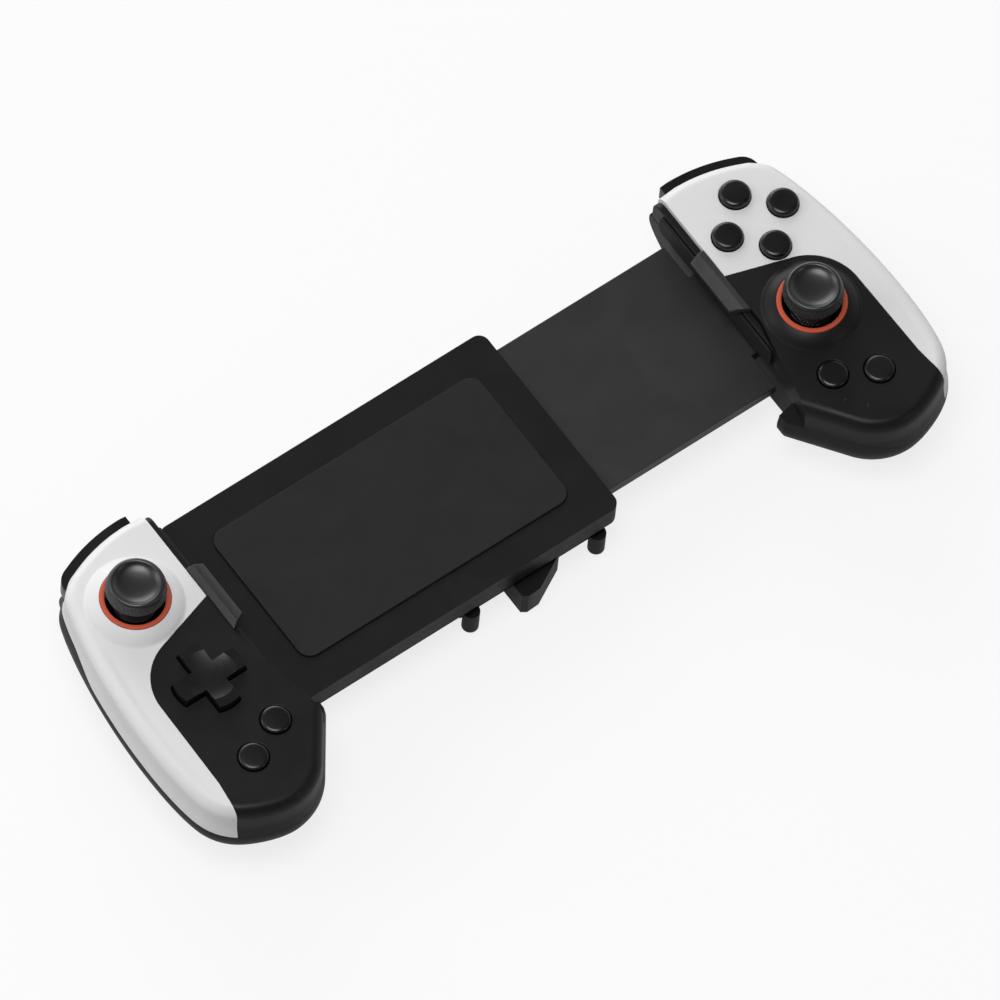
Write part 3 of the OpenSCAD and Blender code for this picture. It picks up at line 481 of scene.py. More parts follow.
def bare_metal(name, colour, other, roughness, lines=(1400.0, 120.0, 120.0)):
    made, tree = new_material(name)
    stretched = add(tree, "ShaderNodeMapping", Vector=add(tree, "ShaderNodeTexCoord").outputs["Object"], Scale=lines)
    drawn = add(tree, "ShaderNodeTexNoise", Vector=stretched.outputs["Vector"], Scale=3.0, Detail=4.0)
    marks = effect(tree, marks_tree, Scale=240.0)
    raised = add(tree, "ShaderNodeBump", Strength=0.15, Distance=0.00001, Height=drawn.outputs["Fac"])
    surface = add(tree, "ShaderNodeBsdfPrincipled", Base_Color=mixed(tree, drawn.outputs["Fac"], colour, other),
                  Roughness=spread(tree, marks.outputs["Smudge"], roughness - 0.06, roughness + 0.08),
                  Normal=raised.outputs["Normal"], Metallic=1.0)
    add(tree, "ShaderNodeOutputMaterial", Surface=surface.outputs["BSDF"])
    return made


board_mask, tree = new_material("circuit board")
place = add(tree, "ShaderNodeTexCoord").outputs["Object"]
tracks = add(tree, "ShaderNodeTexBrick", Vector=place, Scale=260.0, Mortar_Size=0.06, Color1=(0.006, 0.055, 0.022, 1),
             Color2=(0.008, 0.07, 0.03, 1), Mortar=(0.02, 0.13, 0.06, 1))
weave = add(tree, "ShaderNodeTexNoise", Vector=place, Scale=1800.0, Detail=2.0)
lift = add(tree, "ShaderNodeBump", Strength=0.2, Distance=0.00003, Height=tracks.outputs["Fac"])
surface = add(tree, "ShaderNodeBsdfPrincipled", Base_Color=tracks.outputs["Color"], Normal=lift.outputs["Normal"],
              Roughness=spread(tree, weave.outputs["Fac"], 0.25, 0.45))
add(tree, "ShaderNodeOutputMaterial", Surface=surface.outputs["BSDF"])

cell_wrap, tree = new_material("cell wrap")
place = add(tree, "ShaderNodeTexCoord").outputs["Object"]
crinkle = add(tree, "ShaderNodeTexNoise", Vector=place, Scale=160.0, Detail=4.0)
lift = add(tree, "ShaderNodeBump", Strength=0.4, Distance=0.0001, Height=crinkle.outputs["Fac"])
surface = add(tree, "ShaderNodeBsdfPrincipled", Normal=lift.outputs["Normal"], Metallic=0.6,
              Base_Color=mixed(tree, crinkle.outputs["Fac"], (0.25, 0.26, 0.28), (0.36, 0.37, 0.39)),
              Roughness=spread(tree, crinkle.outputs["Fac"], 0.25, 0.45))
add(tree, "ShaderNodeOutputMaterial", Surface=surface.outputs["BSDF"])

black_rubber = moulded_plastic("black silicone rubber", (0.0095, 0.0095, 0.01), (0.013, 0.013, 0.0135),
                               (0.018, 0.018, 0.018), 0.72, grain=1500.0, depth=0.00004, wear=0.2, specular=0.3)
spring_steel = bare_metal("drawn steel", (0.56, 0.56, 0.58), (0.42, 0.42, 0.44), 0.3)
dark_steel = bare_metal("blackened sheet steel", (0.02, 0.02, 0.021), (0.032, 0.032, 0.034), 0.5)
for hand in ("left", "right"):
    finish_node(hand + "_board", board_mask, 0.1)
    finish_node(hand + "_membrane", black_rubber, 0.15)
    finish_node(hand + "_stick_housing", dark_steel, 0.15)
    finish_node(hand + "_stick_gimbal", dark_steel, 0.1)
    finish_node(hand + "_stick_shaft", dark_steel, 0.1)
finish_node("battery", cell_wrap, 0.4)
low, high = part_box("charging_socket")
reach = [CENTRE_Y - high.y / MM, CENTRE_Y - low.y / MM]
socket = carve(socket_tube("steel_socket", 0, *reach), "DIFFERENCE", socket_tube("mouth", -0.3, reach[0] + 1, 70))
middle = ((low.x + high.x) / 2 / MM - BAY_END, (low.z + high.z) / 2 / MM)
BLADE, BLADE_THICK = 3.3, 0.35
carve(socket, "UNION", block("blade", (middle[0] - BLADE, -reach[1] + 2.4, middle[1] - BLADE_THICK),
                             (middle[0] + BLADE, -reach[0] - 0.5, middle[1] + BLADE_THICK)))
carve(socket, "INTERSECT", grip_body("outer", 0.4, 160))
seat(socket, 1, "right_grip", "charging_socket", spring_steel)

# Bridge: the telescopic spine between the grips, a two-part sleeve fixed to the left one.
# Moulded in black and grey plastic; the rail of the right grip slides in it against two springs,
# and a folded ribbon cable joins the boards. A rubber pad is glued on its face, a rest block on its back.
grey_plastic = moulded_plastic("dark grey plastic", (0.023, 0.023, 0.024), (0.029, 0.029, 0.03),
                               (0.06, 0.06, 0.062), 0.4, specular=0.4)
finish_node("sleeve_back", black_plastic, 0.3)
finish_node("sleeve_front", black_plastic, 0.3)
finish_node("rear_rest", black_plastic, 0.45)
finish_node("rail", grey_plastic, 0.25)
finish_node("seat_pad", black_rubber, 0.3)
screw_black = bare_metal("blackened screw steel", (0.035, 0.035, 0.037), (0.055, 0.055, 0.058), 0.38)
finish_node("sleeve_screws", screw_black, 0.12)


def wound(points, faces, start, stop, y, z, radius, wire, turns):
    sides, steps = 8, int(28 * turns)
    first = len(points)
    for i in range(steps + 1):
        t = i / steps
        a = 2 * math.pi * turns * t
        for k in range(sides):
            b = 2 * math.pi * k / sides
            r = radius + wire * math.cos(b)
            points.append((start + (stop - start) * t + wire * math.sin(b), y + r * math.cos(a), z + r * math.sin(a)))
    for i in range(steps):
        for k in range(sides):
            a, b = first + i * sides + k, first + i * sides + (k + 1) % sides
            faces.append((a, b, b + sides, a + sides))
    faces.append(tuple(range(first, first + sides))[::-1])
    faces.append(tuple(range(first + steps * sides, first + (steps + 1) * sides)))


def on_bridge(work, node, material):
    work.data.transform(Matrix.Scale(MM, 4))
    work.data.shade_smooth()
    work.data.set_sharp_from_angle(angle=math.radians(40))
    work.data.materials.append(material)
    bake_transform(work)
    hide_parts(node)


SPRING_ASIDE, COIL_RADIUS, COIL_WIRE, COIL_TURNS = 17, 1.3, 0.3, 34
low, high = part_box("tension_springs")
coil_points, coil_faces = [], []
for sign in (-1, 1):
    wound(coil_points, coil_faces, low.x / MM + COIL_WIRE, high.x / MM - COIL_WIRE, CENTRE_Y + SPRING_ASIDE * sign,
          (low.z + high.z) / 2 / MM, COIL_RADIUS, COIL_WIRE, COIL_TURNS)
on_bridge(blank("paired_springs", coil_points, coil_faces), "tension_springs", spring_steel)

cable_film, tree = new_material("ribbon film")
place = add(tree, "ShaderNodeTexCoord").outputs["Object"]
lines = add(tree, "ShaderNodeTexWave", {"bands_direction": "Y"}, Vector=place, Scale=400.0)
fleck = add(tree, "ShaderNodeTexNoise", Vector=place, Scale=300.0, Detail=3.0)
lift = add(tree, "ShaderNodeBump", Strength=0.3, Distance=0.00003, Height=lines.outputs["Fac"])
surface = add(tree, "ShaderNodeBsdfPrincipled", Normal=lift.outputs["Normal"],
              Base_Color=mixed(tree, lines.outputs["Fac"], (0.42, 0.17, 0.03), (0.55, 0.26, 0.06)),
              Roughness=spread(tree, fleck.outputs["Fac"], 0.2, 0.4))
add(tree, "ShaderNodeOutputMaterial", Surface=surface.outputs["BSDF"])
HALF_THICK, HALF_WIDE, FOLD_AHEAD = 0.125, 4, 31
low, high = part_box("ribbon_cable")
mid_low, mid_high = low.z / MM + HALF_THICK, high.z / MM - HALF_THICK
bend = (mid_high - mid_low) / 2
turn_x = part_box("rail")[0].x / MM - FOLD_AHEAD
run = [(x, mid_low) for x in np.linspace(low.x / MM, turn_x, 40)]
run += [(turn_x - bend * math.sin(a), mid_low + bend * (1 - math.cos(a))) for a in np.linspace(0, math.pi, 18)[1:-1]]
run += [(x, mid_high) for x in np.linspace(turn_x, high.x / MM, 90)]
ribbon_points, ribbon_faces = [], []
for i, (x, z) in enumerate(run):
    (xa, za), (xb, zb) = run[max(i - 1, 0)], run[min(i + 1, len(run) - 1)]
    along = math.hypot(xb - xa, zb - za)
    nx, nz = -(zb - za) / along * HALF_THICK, (xb - xa) / along * HALF_THICK
    for y, s in ((-HALF_WIDE, -1), (HALF_WIDE, -1), (HALF_WIDE, 1), (-HALF_WIDE, 1)):
        ribbon_points.append((x + s * nx, CENTRE_Y + y, z + s * nz))
    if i:
        for k in range(4):
            n = (k + 1) % 4
            ribbon_faces.append((4 * i - 4 + k, 4 * i - 4 + n, 4 * i + n, 4 * i + k))
ribbon_faces += [(3, 2, 1, 0), tuple(range(len(ribbon_points) - 4, len(ribbon_points)))]
ribbon_faces = [face[::-1] for face in ribbon_faces]
on_bridge(blank("folded_ribbon", ribbon_points, ribbon_faces), "ribbon_cable", cable_film)

# Front covers: a white upper cover and a black lower one on each grip, meeting in one curve.
# Moulded in satin plastic with a rounded edge, 2 mm walls and a raised collar round each stick;
# held from behind by the screws. The seam to the rear shell dips along the outer side.
white_plastic = moulded_plastic("white moulded plastic", (0.79, 0.79, 0.8), (0.82, 0.82, 0.83), (0.7, 0.7, 0.705),
                                0.46, grain=3000.0, depth=0.000012, wear=0.3, specular=0.4)
front_black = moulded_plastic("black front plastic", (0.0085, 0.0085, 0.009), (0.0102, 0.0102, 0.0107),
                              (0.03, 0.03, 0.031), 0.42, grain=3000.0, depth=0.000014, specular=0.2)


def plan_place(node):
    low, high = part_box(node)
    return abs(low.x + high.x) / 2 / MM - BAY_END, (low.y + high.y) / 2 / MM - CENTRE_Y


upper_place = plan_place("left_stick_ring")
lower_place = plan_place("right_stick_ring")
small_places = [plan_place("right_button_inner"), plan_place("right_button_outer")]
face_places = [plan_place("face_button_" + way) for way in ("top", "right", "bottom", "left")]
light_places = [(7.5, -43), (11.5, -47.5)]
CROSS_SPAN, CROSS_ARM = 19.7, 6.2
COLLAR_TOP = FACE + 2.8
FRONT_RIM, FRONT_FLARE = 2.8, -12
HOLE_DEPTH, HOLE_EASE, HOLE_CLEAR = 5, 0.3, 9
SMALL_HOLE, FACE_HOLE, LIGHT_HOLE = 4.25, 4.35, 0.7
SMALL_FLANGE, FACE_FLANGE = 0.6, 0.9
BLACK_REACH, WHITE_START = 15.04, 15.16


def black_line(radius, start=math.radians(73), far=50, low=-72):
    arc = [(lower_place[0] + radius * math.cos(a), lower_place[1] + radius * math.sin(a))
           for a in np.linspace(start, 0, 40)]
    bay_side = (arc[0][0] - far * math.sin(start), arc[0][1] + far * math.cos(start))
    outer_side = [(lower_place[0] + radius + 0.4, -42), (lower_place[0] + radius + 4, low)]
    line = [bay_side] + arc + outer_side + [(-40, low)]
    return line[::-1]


def round_hole(place, radius, flange):
    below = [(0, FACE - HOLE_DEPTH), (radius + flange, FACE - HOLE_DEPTH), (radius + flange, FACE - WALL),
             (radius, FACE - WALL)]
    flare = [(radius + HOLE_EASE * (1 - math.cos(a)), FACE - HOLE_EASE + HOLE_EASE * math.sin(a))
             for a in np.linspace(0, math.pi / 2, 6)]
    above = [(radius + HOLE_EASE, FACE + HOLE_CLEAR), (0, FACE + HOLE_CLEAR)]
    return turned("hole", below + flare + above, place, 72)


def cross_outline(grow):
    arm, tip = CROSS_ARM / 2 + grow, CROSS_SPAN / 2 + grow
    swing = math.asin(arm / tip)
    quarter = [(tip * math.cos(a), tip * math.sin(a)) for a in np.linspace(-swing, swing, 15)] + [(arm, arm)]
    points = []
    for turn in range(4):
        c, s = math.cos(turn * math.pi / 2), math.sin(turn * math.pi / 2)
        points += [(lower_place[0] + c * x - s * y, lower_place[1] + s * x + c * y) for x, y in quarter]
    return points


def top_strip(outer, inner, start, stop, count=60, tuck=0.0, tuck_depth=2.4, margin=6):
    rays = directions(1440)
    xs = np.linspace(start, stop, count)
    edges = []
    for inset in (outer, inner):
        ring = grip_ring(rays, inset, min(inset, 0))
        ring = ring[(ring[:, 1] > 12) & (ring[:, 0] > start - margin) & (ring[:, 0] < stop + margin)]
        ring = ring[np.argsort(ring[:, 0])]
        edges.append(np.interp(xs, ring[:, 0], ring[:, 1]))
    if tuck:
        edges[0] -= tuck_depth * (1 - np.sqrt(1 - np.clip((xs - stop + tuck) / tuck, 0, 1) ** 2))
    return list(zip(xs, edges[1])) + list(zip(xs[::-1], edges[0][::-1]))


COLLAR_FOOT, RING_BORE, RING_SEAT, RING_DEPTH = 13.6, 8, 9.5, 1.2
collar_slope = smooth_path([(COLLAR_FOOT, -0.2), (13.3, 0.06), (12.95, 0.32), (12.55, 0.78), (12.05, 1.26),
                            (11.35, 1.8), (10.6, 2.27), (9.9, 2.63), (9.4, 2.8)], 3)
collar_profile = [(0, FACE - 1), (COLLAR_FOOT, FACE - 1)]
collar_profile += [(r, FACE + h) for r, h in collar_slope] + [(0, COLLAR_TOP)]
stick_profile = [(0, FACE - HOLE_DEPTH), (RING_BORE, FACE - HOLE_DEPTH), (RING_BORE, COLLAR_TOP - RING_DEPTH),
                 (RING_SEAT, COLLAR_TOP - RING_DEPTH), (RING_SEAT, COLLAR_TOP + 5), (0, COLLAR_TOP + 5)]
light_profile = [(0, FACE - HOLE_DEPTH), (LIGHT_HOLE, FACE - HOLE_DEPTH), (LIGHT_HOLE, FACE + 2), (0, FACE + 2)]
cross_flare = [(0.4, -HOLE_DEPTH), (0.4, -0.3), (0.43, -0.16), (0.52, -0.05), (0.7, 0), (0.7, HOLE_CLEAR)]
shoulder_room = top_strip(outer=-6, inner=5.2, start=4.9, stop=31.7)
for side, hand in ((-1, "left"), (1, "right")):
    stick = upper_place if side < 0 else lower_place
    cover = carve(grip_body(hand + "_front"), "INTERSECT", beyond_bay("area", FRONT_RIM, FRONT_FLARE))
    hollow = carve(grip_body("hollow", WALL, 160), "INTERSECT", beyond_bay("area", FRONT_RIM + WALL, FRONT_FLARE))
    carve(cover, "DIFFERENCE", hollow)
    carve(cover, "INTERSECT", seam_block("above", 0.05, 60))
    carve(cover, "UNION", turned("collar", collar_profile, stick, 120))
    carve(cover, "DIFFERENCE", stacked("shoulder room", [shoulder_room] * 2, [SEAM - 4, SEAM + 6]))
    carve(cover, "DIFFERENCE", turned("stick opening", stick_profile, stick, 120))
    for place in small_places:
        carve(cover, "DIFFERENCE", round_hole(place, SMALL_HOLE, SMALL_FLANGE))
    if side < 0:
        carve(cover, "DIFFERENCE", stacked("cross opening", [cross_outline(grow) for grow, height in cross_flare],
                                           [FACE + height for grow, height in cross_flare]))
    else:
        for place in face_places:
            carve(cover, "DIFFERENCE", round_hole(place, FACE_HOLE, FACE_FLANGE))
        for place in light_places:
            carve(cover, "DIFFERENCE", turned("light hole", light_profile, place, 24))
    lower = carve(twin(cover, hand + "_lower_front"), "INTERSECT",
                  stacked("black part", [black_line(BLACK_REACH)] * 2, [-5, 80]))
    carve(cover, "DIFFERENCE", stacked("black part", [black_line(WHITE_START)] * 2, [-5, 80]))
    cover.name = hand + "_upper_front"
    seat(cover, side, hand + "_grip", hand + "_white_cover", white_plastic)
    seat(lower, side, hand + "_grip", hand + "_black_cover", front_black)

# Stick rings and indicator lights: small pieces pressed into the front covers from outside.
# The rings are matte orange plastic with a soft top edge; the lights are smoked light pipes.
orange_plastic = moulded_plastic("orange ring plastic", (0.57, 0.088, 0.037), (0.61, 0.098, 0.042),
                                 (0.66, 0.14, 0.07), 0.52, grain=3200.0, depth=0.00001, wear=0.3, specular=0.35)
ring_low = COLLAR_TOP - RING_DEPTH
ring_section = [(8.0, 0), (9.4, 0), (9.4, 1.12), (9.36, 1.28), (9.24, 1.4), (9.05, 1.45), (8.42, 1.45), (8.2, 1.4),
                (8.06, 1.25), (8.0, 1.05)]
ring_profile = [(r, ring_low + h) for r, h in ring_section]
for side, hand, place in ((-1, "left", upper_place), (1, "right", lower_place)):
    seat(turned(hand + "_orange_ring", ring_profile, place, 128, True), side, hand + "_grip", hand + "_stick_ring",
         orange_plastic)
smoked_pipe = moulded_plastic("smoked light pipe", (0.012, 0.012, 0.013), (0.018, 0.018, 0.019),
                              (0.05, 0.05, 0.05), 0.2)
finish_node("indicator_lights", smoked_pipe, 0.1)

# Bay ends: the black frame, rubber pad and grey clip at each end of the bay between the grips.
# The frame is moulded plastic along the front cover, the pad is glued to it, and the clip
# overhangs the bay with a lighter sloping front.
clip_plastic = moulded_plastic("clip plastic", (0.02, 0.02, 0.021), (0.026, 0.026, 0.027), (0.07, 0.07, 0.072), 0.36,
                               specular=0.5)
for hand in ("left", "right"):
    finish_node(hand + "_end_frame", front_black, 0.35)
    finish_node(hand + "_phone_pad", black_rubber, 0.25)
    finish_node(hand + "_phone_clip", clip_plastic, 0.35)

# Buttons: round keys moulded in black plastic, four on the right face and two small ones a side.
# Each has a flange under the cover, a rounded rim and a slightly domed, polished top,
# and stands on a silicone dome. They carry no marks here.
black_key = moulded_plastic("black key plastic", (0.0045, 0.0045, 0.0048), (0.006, 0.006, 0.0064),
                            (0.03, 0.03, 0.031), 0.27, grain=3400.0, depth=0.000008, specular=0.45, bump=0.15)


def key_profile(radius, flange, top, rim, travel, stem=2.2, thick=0.9, dome=0.16):
    seat_z = FACE - WALL - 0.05
    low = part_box("face_button_top")[0].z / MM + travel + 0.08
    profile = [(0, low), (stem, low), (stem, seat_z - thick), (radius + flange, seat_z - thick),
               (radius + flange, seat_z), (radius, seat_z)]
    profile += [(radius - rim * (1 - math.cos(a)), top - dome - rim + rim * math.sin(a))
                for a in np.linspace(0, math.radians(82), 9)]
    start, height = profile[-1]
    profile += [(start * math.cos(a), height + (top - height) * math.sin(a))
                for a in np.linspace(0, math.pi / 2, 10)[1:-1]]
    return profile + [(0, top)]


face_key = key_profile(radius=4.1, flange=FACE_FLANGE, top=FACE + 1.8, rim=0.85, travel=1.2)
small_key = key_profile(radius=4.0, flange=SMALL_FLANGE, top=FACE + 0.9, rim=0.7, travel=0.6)
keys = [(1, "face_button_" + way, way + "_key", face_places[i], face_key)
        for i, way in enumerate(("top", "right", "bottom", "left"))]
for side, hand in ((-1, "left"), (1, "right")):
    for i, row in enumerate(("inner", "outer")):
        keys.append((side, f"{hand}_button_{row}", f"{hand}_{row}_key", small_places[i], small_key))
for side, node, body, place, profile in keys:
    seat(turned(node + "_key", profile, place, 96), side, body, node, black_key)

# Direction pad: one black cross with rounded tips and a shallow dish, rocking on a small disc.
# Moulded in the same polished plastic as the buttons, with crisp, lightly broken edges.
pad_top, pad_low = FACE + 2.4, FACE - 4
SKIRT, SKIRT_THICK, DISH_RADIUS, DISH_DEPTH = 10.25, 0.8, 34, 0.8
PUSHER, PUSHER_PLACE, PUSHER_LOW = 1.4, 8.08, FACE - 5.85
pad = stacked("direction_cross", [cross_outline(0)] * 2, [pad_low, pad_top])
skirt = turned("skirt", [(0, pad_low), (SKIRT, pad_low), (SKIRT, pad_low + SKIRT_THICK), (0, pad_low + SKIRT_THICK)],
               lower_place, 96)
ball_height = pad_top + (DISH_RADIUS - DISH_DEPTH)
ball = turned("dish", [(DISH_RADIUS * math.sin(a), ball_height - DISH_RADIUS * math.cos(a))
                       for a in np.linspace(0, 0.4, 40)] + [(0, pad_top + 5)], lower_place, 144)
carve(pad, "DIFFERENCE", ball)


def break_edges(work, width, angle, segments=3):
    shape = bmesh.new()
    shape.from_mesh(work.data)
    bmesh.ops.remove_doubles(shape, verts=shape.verts, dist=1e-4)
    sharp = [e for e in shape.edges if len(e.link_faces) == 2 and e.calc_face_angle() > math.radians(angle)]
    bmesh.ops.bevel(shape, geom=sharp, offset=width, offset_type="OFFSET", segments=segments, profile=0.5,
                    affect="EDGES", clamp_overlap=True)
    shape.to_mesh(work.data)
    shape.free()
    return work


break_edges(pad, 0.32, 40)
carve(pad, "UNION", skirt)
pusher_profile = [(0, PUSHER_LOW), (PUSHER, PUSHER_LOW), (PUSHER, pad_low + 0.2), (0, pad_low + 0.2)]
for turn in range(4):
    a = turn * math.pi / 2
    place = (lower_place[0] + PUSHER_PLACE * math.cos(a), lower_place[1] + PUSHER_PLACE * math.sin(a))
    carve(pad, "UNION", turned("pusher", pusher_profile, place, 32))
seat(pad, -1, "cross_key", "cross_pad", black_key, 26)
finish_node("cross_rocker", grey_plastic, 0.1)

# Stick caps: the thumb pieces, moulded in soft black plastic over the steel shafts.
# A wide dished top with a rounded rim, a waisted neck, and a dome that closes the opening below.
cap_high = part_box("left_stick_cap")[1].z / MM
cap_plastic, tree = new_material("stick cap plastic")
place = add(tree, "ShaderNodeTexCoord").outputs["Object"]
level = add(tree, "ShaderNodeSeparateXYZ", Vector=place).outputs["Z"]
flank = add(tree, "ShaderNodeMapRange", Value=level, From_Min=(cap_high - 0.55) * MM,
            From_Max=(cap_high - 1.0) * MM).outputs[0]
outward = add(tree, "ShaderNodeSeparateXYZ", Vector=add(tree, "ShaderNodeNewGeometry").outputs["Normal"]).outputs["Z"]
steep = add(tree, "ShaderNodeMapRange", Value=outward, From_Min=0.8, From_Max=0.6).outputs[0]
knurled = add(tree, "ShaderNodeMath", {"operation": "MULTIPLY"}, at0=flank, at1=steep).outputs[0]
dots = add(tree, "ShaderNodeTexVoronoi", Vector=place, Scale=1500.0, Randomness=0.2).outputs["Distance"]
sunk = add(tree, "ShaderNodeMath", {"operation": "MULTIPLY"}, at0=dots, at1=knurled).outputs[0]
skin = effect(tree, grain_tree, Scale=3000.0)
fine = add(tree, "ShaderNodeBump", Strength=0.2, Distance=0.00001, Height=skin.outputs["Height"])
raised = add(tree, "ShaderNodeBump", {"invert": True}, Strength=1.0, Distance=0.0004, Height=sunk,
             Normal=fine.outputs["Normal"])
tone = mixed(tree, skin.outputs["Tone"], (0.0052, 0.0052, 0.0056), (0.007, 0.007, 0.0075))
surface = add(tree, "ShaderNodeBsdfPrincipled", Normal=raised.outputs["Normal"], Specular_IOR_Level=0.8,
              Base_Color=mixed(tree, knurled, tone, (0.009, 0.009, 0.0095)),
              Roughness=spread(tree, knurled, 0.34, 0.5))
add(tree, "ShaderNodeOutputMaterial", Surface=surface.outputs["BSDF"])
RIM = (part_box("left_stick_cap")[1].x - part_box("left_stick_cap")[0].x) / 2 / MM
pivot = FACE - 4.5
bore, dome_in, dome_out, neck = 1.56, 6.6, 7.6, 3.7
dome_end = math.radians(52)
inside = [(0, cap_high - 4.8), (bore, cap_high - 4.8)]
inside += [(dome_in * math.sin(a), pivot + dome_in * math.cos(a))
           for a in np.linspace(math.asin(bore / dome_in), dome_end, 12)]
outside = [(dome_out * math.sin(a), pivot + dome_out * math.cos(a))
           for a in np.linspace(dome_end, math.asin(neck / dome_out), 14)]
DISH_LOW = 1.52
flank_and_dish = [(0.62, 4.8), (0.84, 4.4), (0.96, 4.05), (0.995, 3.6), (1, 3.1), (0.98, 2.3), (0.95, 1.4),
                  (0.92, 0.7), (0.87, 0.18), (0.82, 0), (0.77, 0.08), (0.72, 0.4), (0.64, 0.8), (0.5, 1.18),
                  (0.3, 1.42), (0.12, 1.51), (0, DISH_LOW)]
sweep = smooth_path([(neck, cap_high - 6.4), (neck + 0.05, cap_high - 5.5)]
                    + [(share * RIM, cap_high - drop) for share, drop in flank_and_dish], 4)
sweep = [(max(r, 0.0), min(z, cap_high)) for r, z in sweep]
cap_profile = inside + outside + sweep[:-1] + [(0.0, cap_high - DISH_LOW)]
for side, hand, place in ((-1, "left", upper_place), (1, "right", lower_place)):
    seat(turned(hand + "_thumb_cap", cap_profile, place, 128), side, hand + "_stick_top", hand + "_stick_cap",
         cap_plastic, 40)

# Shoulder buttons and triggers: two keys stacked on the top edge of each grip.
# Black plastic; the shoulder button swings on a peg near the bay, the trigger turns on a steel pin
# behind it with a small spring, and both follow the slanted edge.
SHOULDER_REACH, SHOULDER_DEPTH, SHOULDER_START, SHOULDER_STOP = 2.6, 3.2, 5.5, 31
for side, hand in ((-1, "left"), (1, "right")):
    low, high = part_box(hand + "_shoulder")
    outline = top_strip(-SHOULDER_REACH, SHOULDER_DEPTH, SHOULDER_START, SHOULDER_STOP, 120, 3.2)
    strip = stacked(hand + "_bumper", [outline] * 2, [low.z / MM, high.z / MM])
    break_edges(strip, 0.5, 50, 4)
    seat(strip, side, hand + "_shoulder_key", hand + "_shoulder", black_key, 26)
    finish_node(hand + "_trigger", black_key, 0.4)
    finish_node(hand + "_trigger_pin", spring_steel, 0.15)
    finish_node(hand + "_trigger_spring", spring_steel, 0)
    finish_node(hand + "_screws", screw_black, 0.12)

# Stage: a pale floor under soft studio light, seen from the photograph's angle.
# Wide soft lamps overhead, far and to the left, a small low one for the edges, and a surround
# that is pale at the horizon and darker overhead and on the near side.
floor = blank("floor", [(-12, -12, 0), (12, -12, 0), (12, 12, 0), (-12, 12, 0)], [(0, 1, 2, 3)])
floor_paint, tree = new_material("pale floor")
MIRRORED_SHARE, WHITE_SHARE = 0.3, 0.8
seen = add(tree, "ShaderNodeLightPath")
direct = add(tree, "ShaderNodeMath", {"operation": "MAXIMUM"}, at0=seen.outputs["Is Camera Ray"],
             at1=seen.outputs["Is Transmission Ray"])
either = add(tree, "ShaderNodeMath", {"operation": "MULTIPLY_ADD", "use_clamp": True},
             at0=seen.outputs["Is Glossy Ray"], at1=MIRRORED_SHARE, at2=direct.outputs[0])
share = add(tree, "ShaderNodeMath", {"operation": "MULTIPLY"}, at0=either.outputs[0], at1=WHITE_SHARE)
speck = add(tree, "ShaderNodeTexNoise", Vector=add(tree, "ShaderNodeTexCoord").outputs["Object"], Scale=30.0,
            Detail=3.0)
tone = mixed(tree, speck.outputs["Fac"], (0.5, 0.5, 0.5), (0.53, 0.53, 0.53))
matte = add(tree, "ShaderNodeBsdfDiffuse", Color=mixed(tree, either.outputs[0], tone, (0.96, 0.96, 0.96)))
glow = add(tree, "ShaderNodeEmission", Color=(1, 1, 1, 1), Strength=1.0)
pale = add(tree, "ShaderNodeMixShader", Fac=share.outputs[0], at1=matte.outputs[0], at2=glow.outputs[0])
clear = add(tree, "ShaderNodeBsdfTransparent")
open_below = add(tree, "ShaderNodeMixShader", Fac=add(tree, "ShaderNodeNewGeometry").outputs["Backfacing"],
                 at1=pale.outputs[0], at2=clear.outputs[0])
add(tree, "ShaderNodeOutputMaterial", Surface=open_below.outputs[0])
floor.data.materials.append(floor_paint)

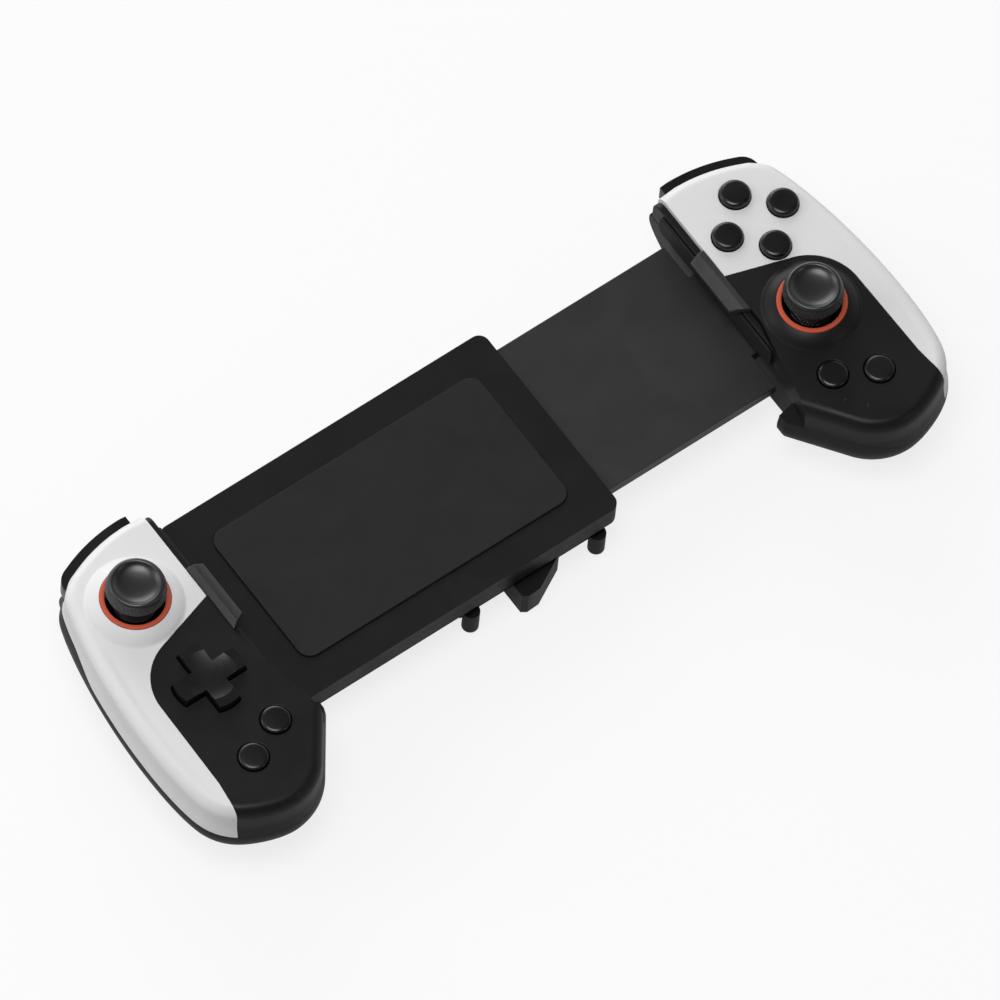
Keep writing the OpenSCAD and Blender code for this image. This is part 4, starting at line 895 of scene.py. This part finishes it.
scene = bpy.context.scene
scene.world = bpy.data.worlds.new("pale surround")
scene.world.use_nodes = True
tree = scene.world.node_tree
tree.nodes.clear()
way = add(tree, "ShaderNodeSeparateXYZ", Vector=add(tree, "ShaderNodeTexCoord").outputs["Generated"])
fall = add(tree, "ShaderNodeMapRange", {"interpolation_type": "SMOOTHSTEP"}, Value=way.outputs["Z"],
           From_Min=0.12, From_Max=0.75, To_Min=1.0, To_Max=0.15)
near = add(tree, "ShaderNodeMapRange", {"interpolation_type": "SMOOTHSTEP"}, Value=way.outputs["Y"],
           From_Min=-0.8, From_Max=0.4, To_Min=0.25, To_Max=1.0)
shaded = add(tree, "ShaderNodeMath", {"operation": "MULTIPLY"}, at0=fall.outputs[0], at1=near.outputs[0])
shown = add(tree, "ShaderNodeMath", {"operation": "MAXIMUM"}, at0=shaded.outputs[0],
            at1=add(tree, "ShaderNodeLightPath").outputs["Is Camera Ray"])
sky = add(tree, "ShaderNodeBackground", Color=(1, 1, 1, 1), Strength=shown.outputs[0])
add(tree, "ShaderNodeOutputWorld", Surface=sky.outputs[0])


def soft_lamp(name, place, size, power):
    lamp = bpy.data.lights.new(name, "AREA")
    lamp.shape = "DISK"
    lamp.size = size
    lamp.energy = power
    holder = bpy.data.objects.new(name, lamp)
    scene.collection.objects.link(holder)
    holder.location = place
    holder.rotation_mode = "QUATERNION"
    holder.rotation_quaternion = (Vector((0, 0, 0.02)) - Vector(place)).to_track_quat("-Z", "Y")


soft_lamp("far lamp", (0.55, 1.6, 0.65), 1.4, 12.5)
soft_lamp("overhead lamp", (-0.35, -0.1, 1.6), 0.9, 12.8)
soft_lamp("low near lamp", (0.6, -1.25, 0.75), 0.3, 1.0)
soft_lamp("left lamp", (-1.05, 0.95, 0.95), 0.8, 4.0)

right_way = Vector((0.808, -0.586, 0.053)).normalized()
toward = Vector((-0.311, -0.349, 0.884))
toward = (toward - toward.dot(right_way) * right_way).normalized()
up_way = toward.cross(right_way)
CAMERA_AWAY, SHIFT_RIGHT, SHIFT_DOWN = 6, 6.34, 12.88
aim = Vector((0, 10.95, 28)) + SHIFT_RIGHT * right_way - SHIFT_DOWN * up_way
camera = bpy.data.objects.new("photo camera", bpy.data.cameras.new("photo camera"))
camera.data.sensor_width = 36
camera.data.lens = 830.8
camera.data.clip_end = 100
facing_way = Matrix((right_way, up_way, toward)).transposed().to_4x4()
camera.matrix_world = Matrix.Translation(aim * MM + toward * CAMERA_AWAY) @ facing_way
scene.collection.objects.link(camera)
scene.camera = camera
scene.view_settings.view_transform = "Standard"
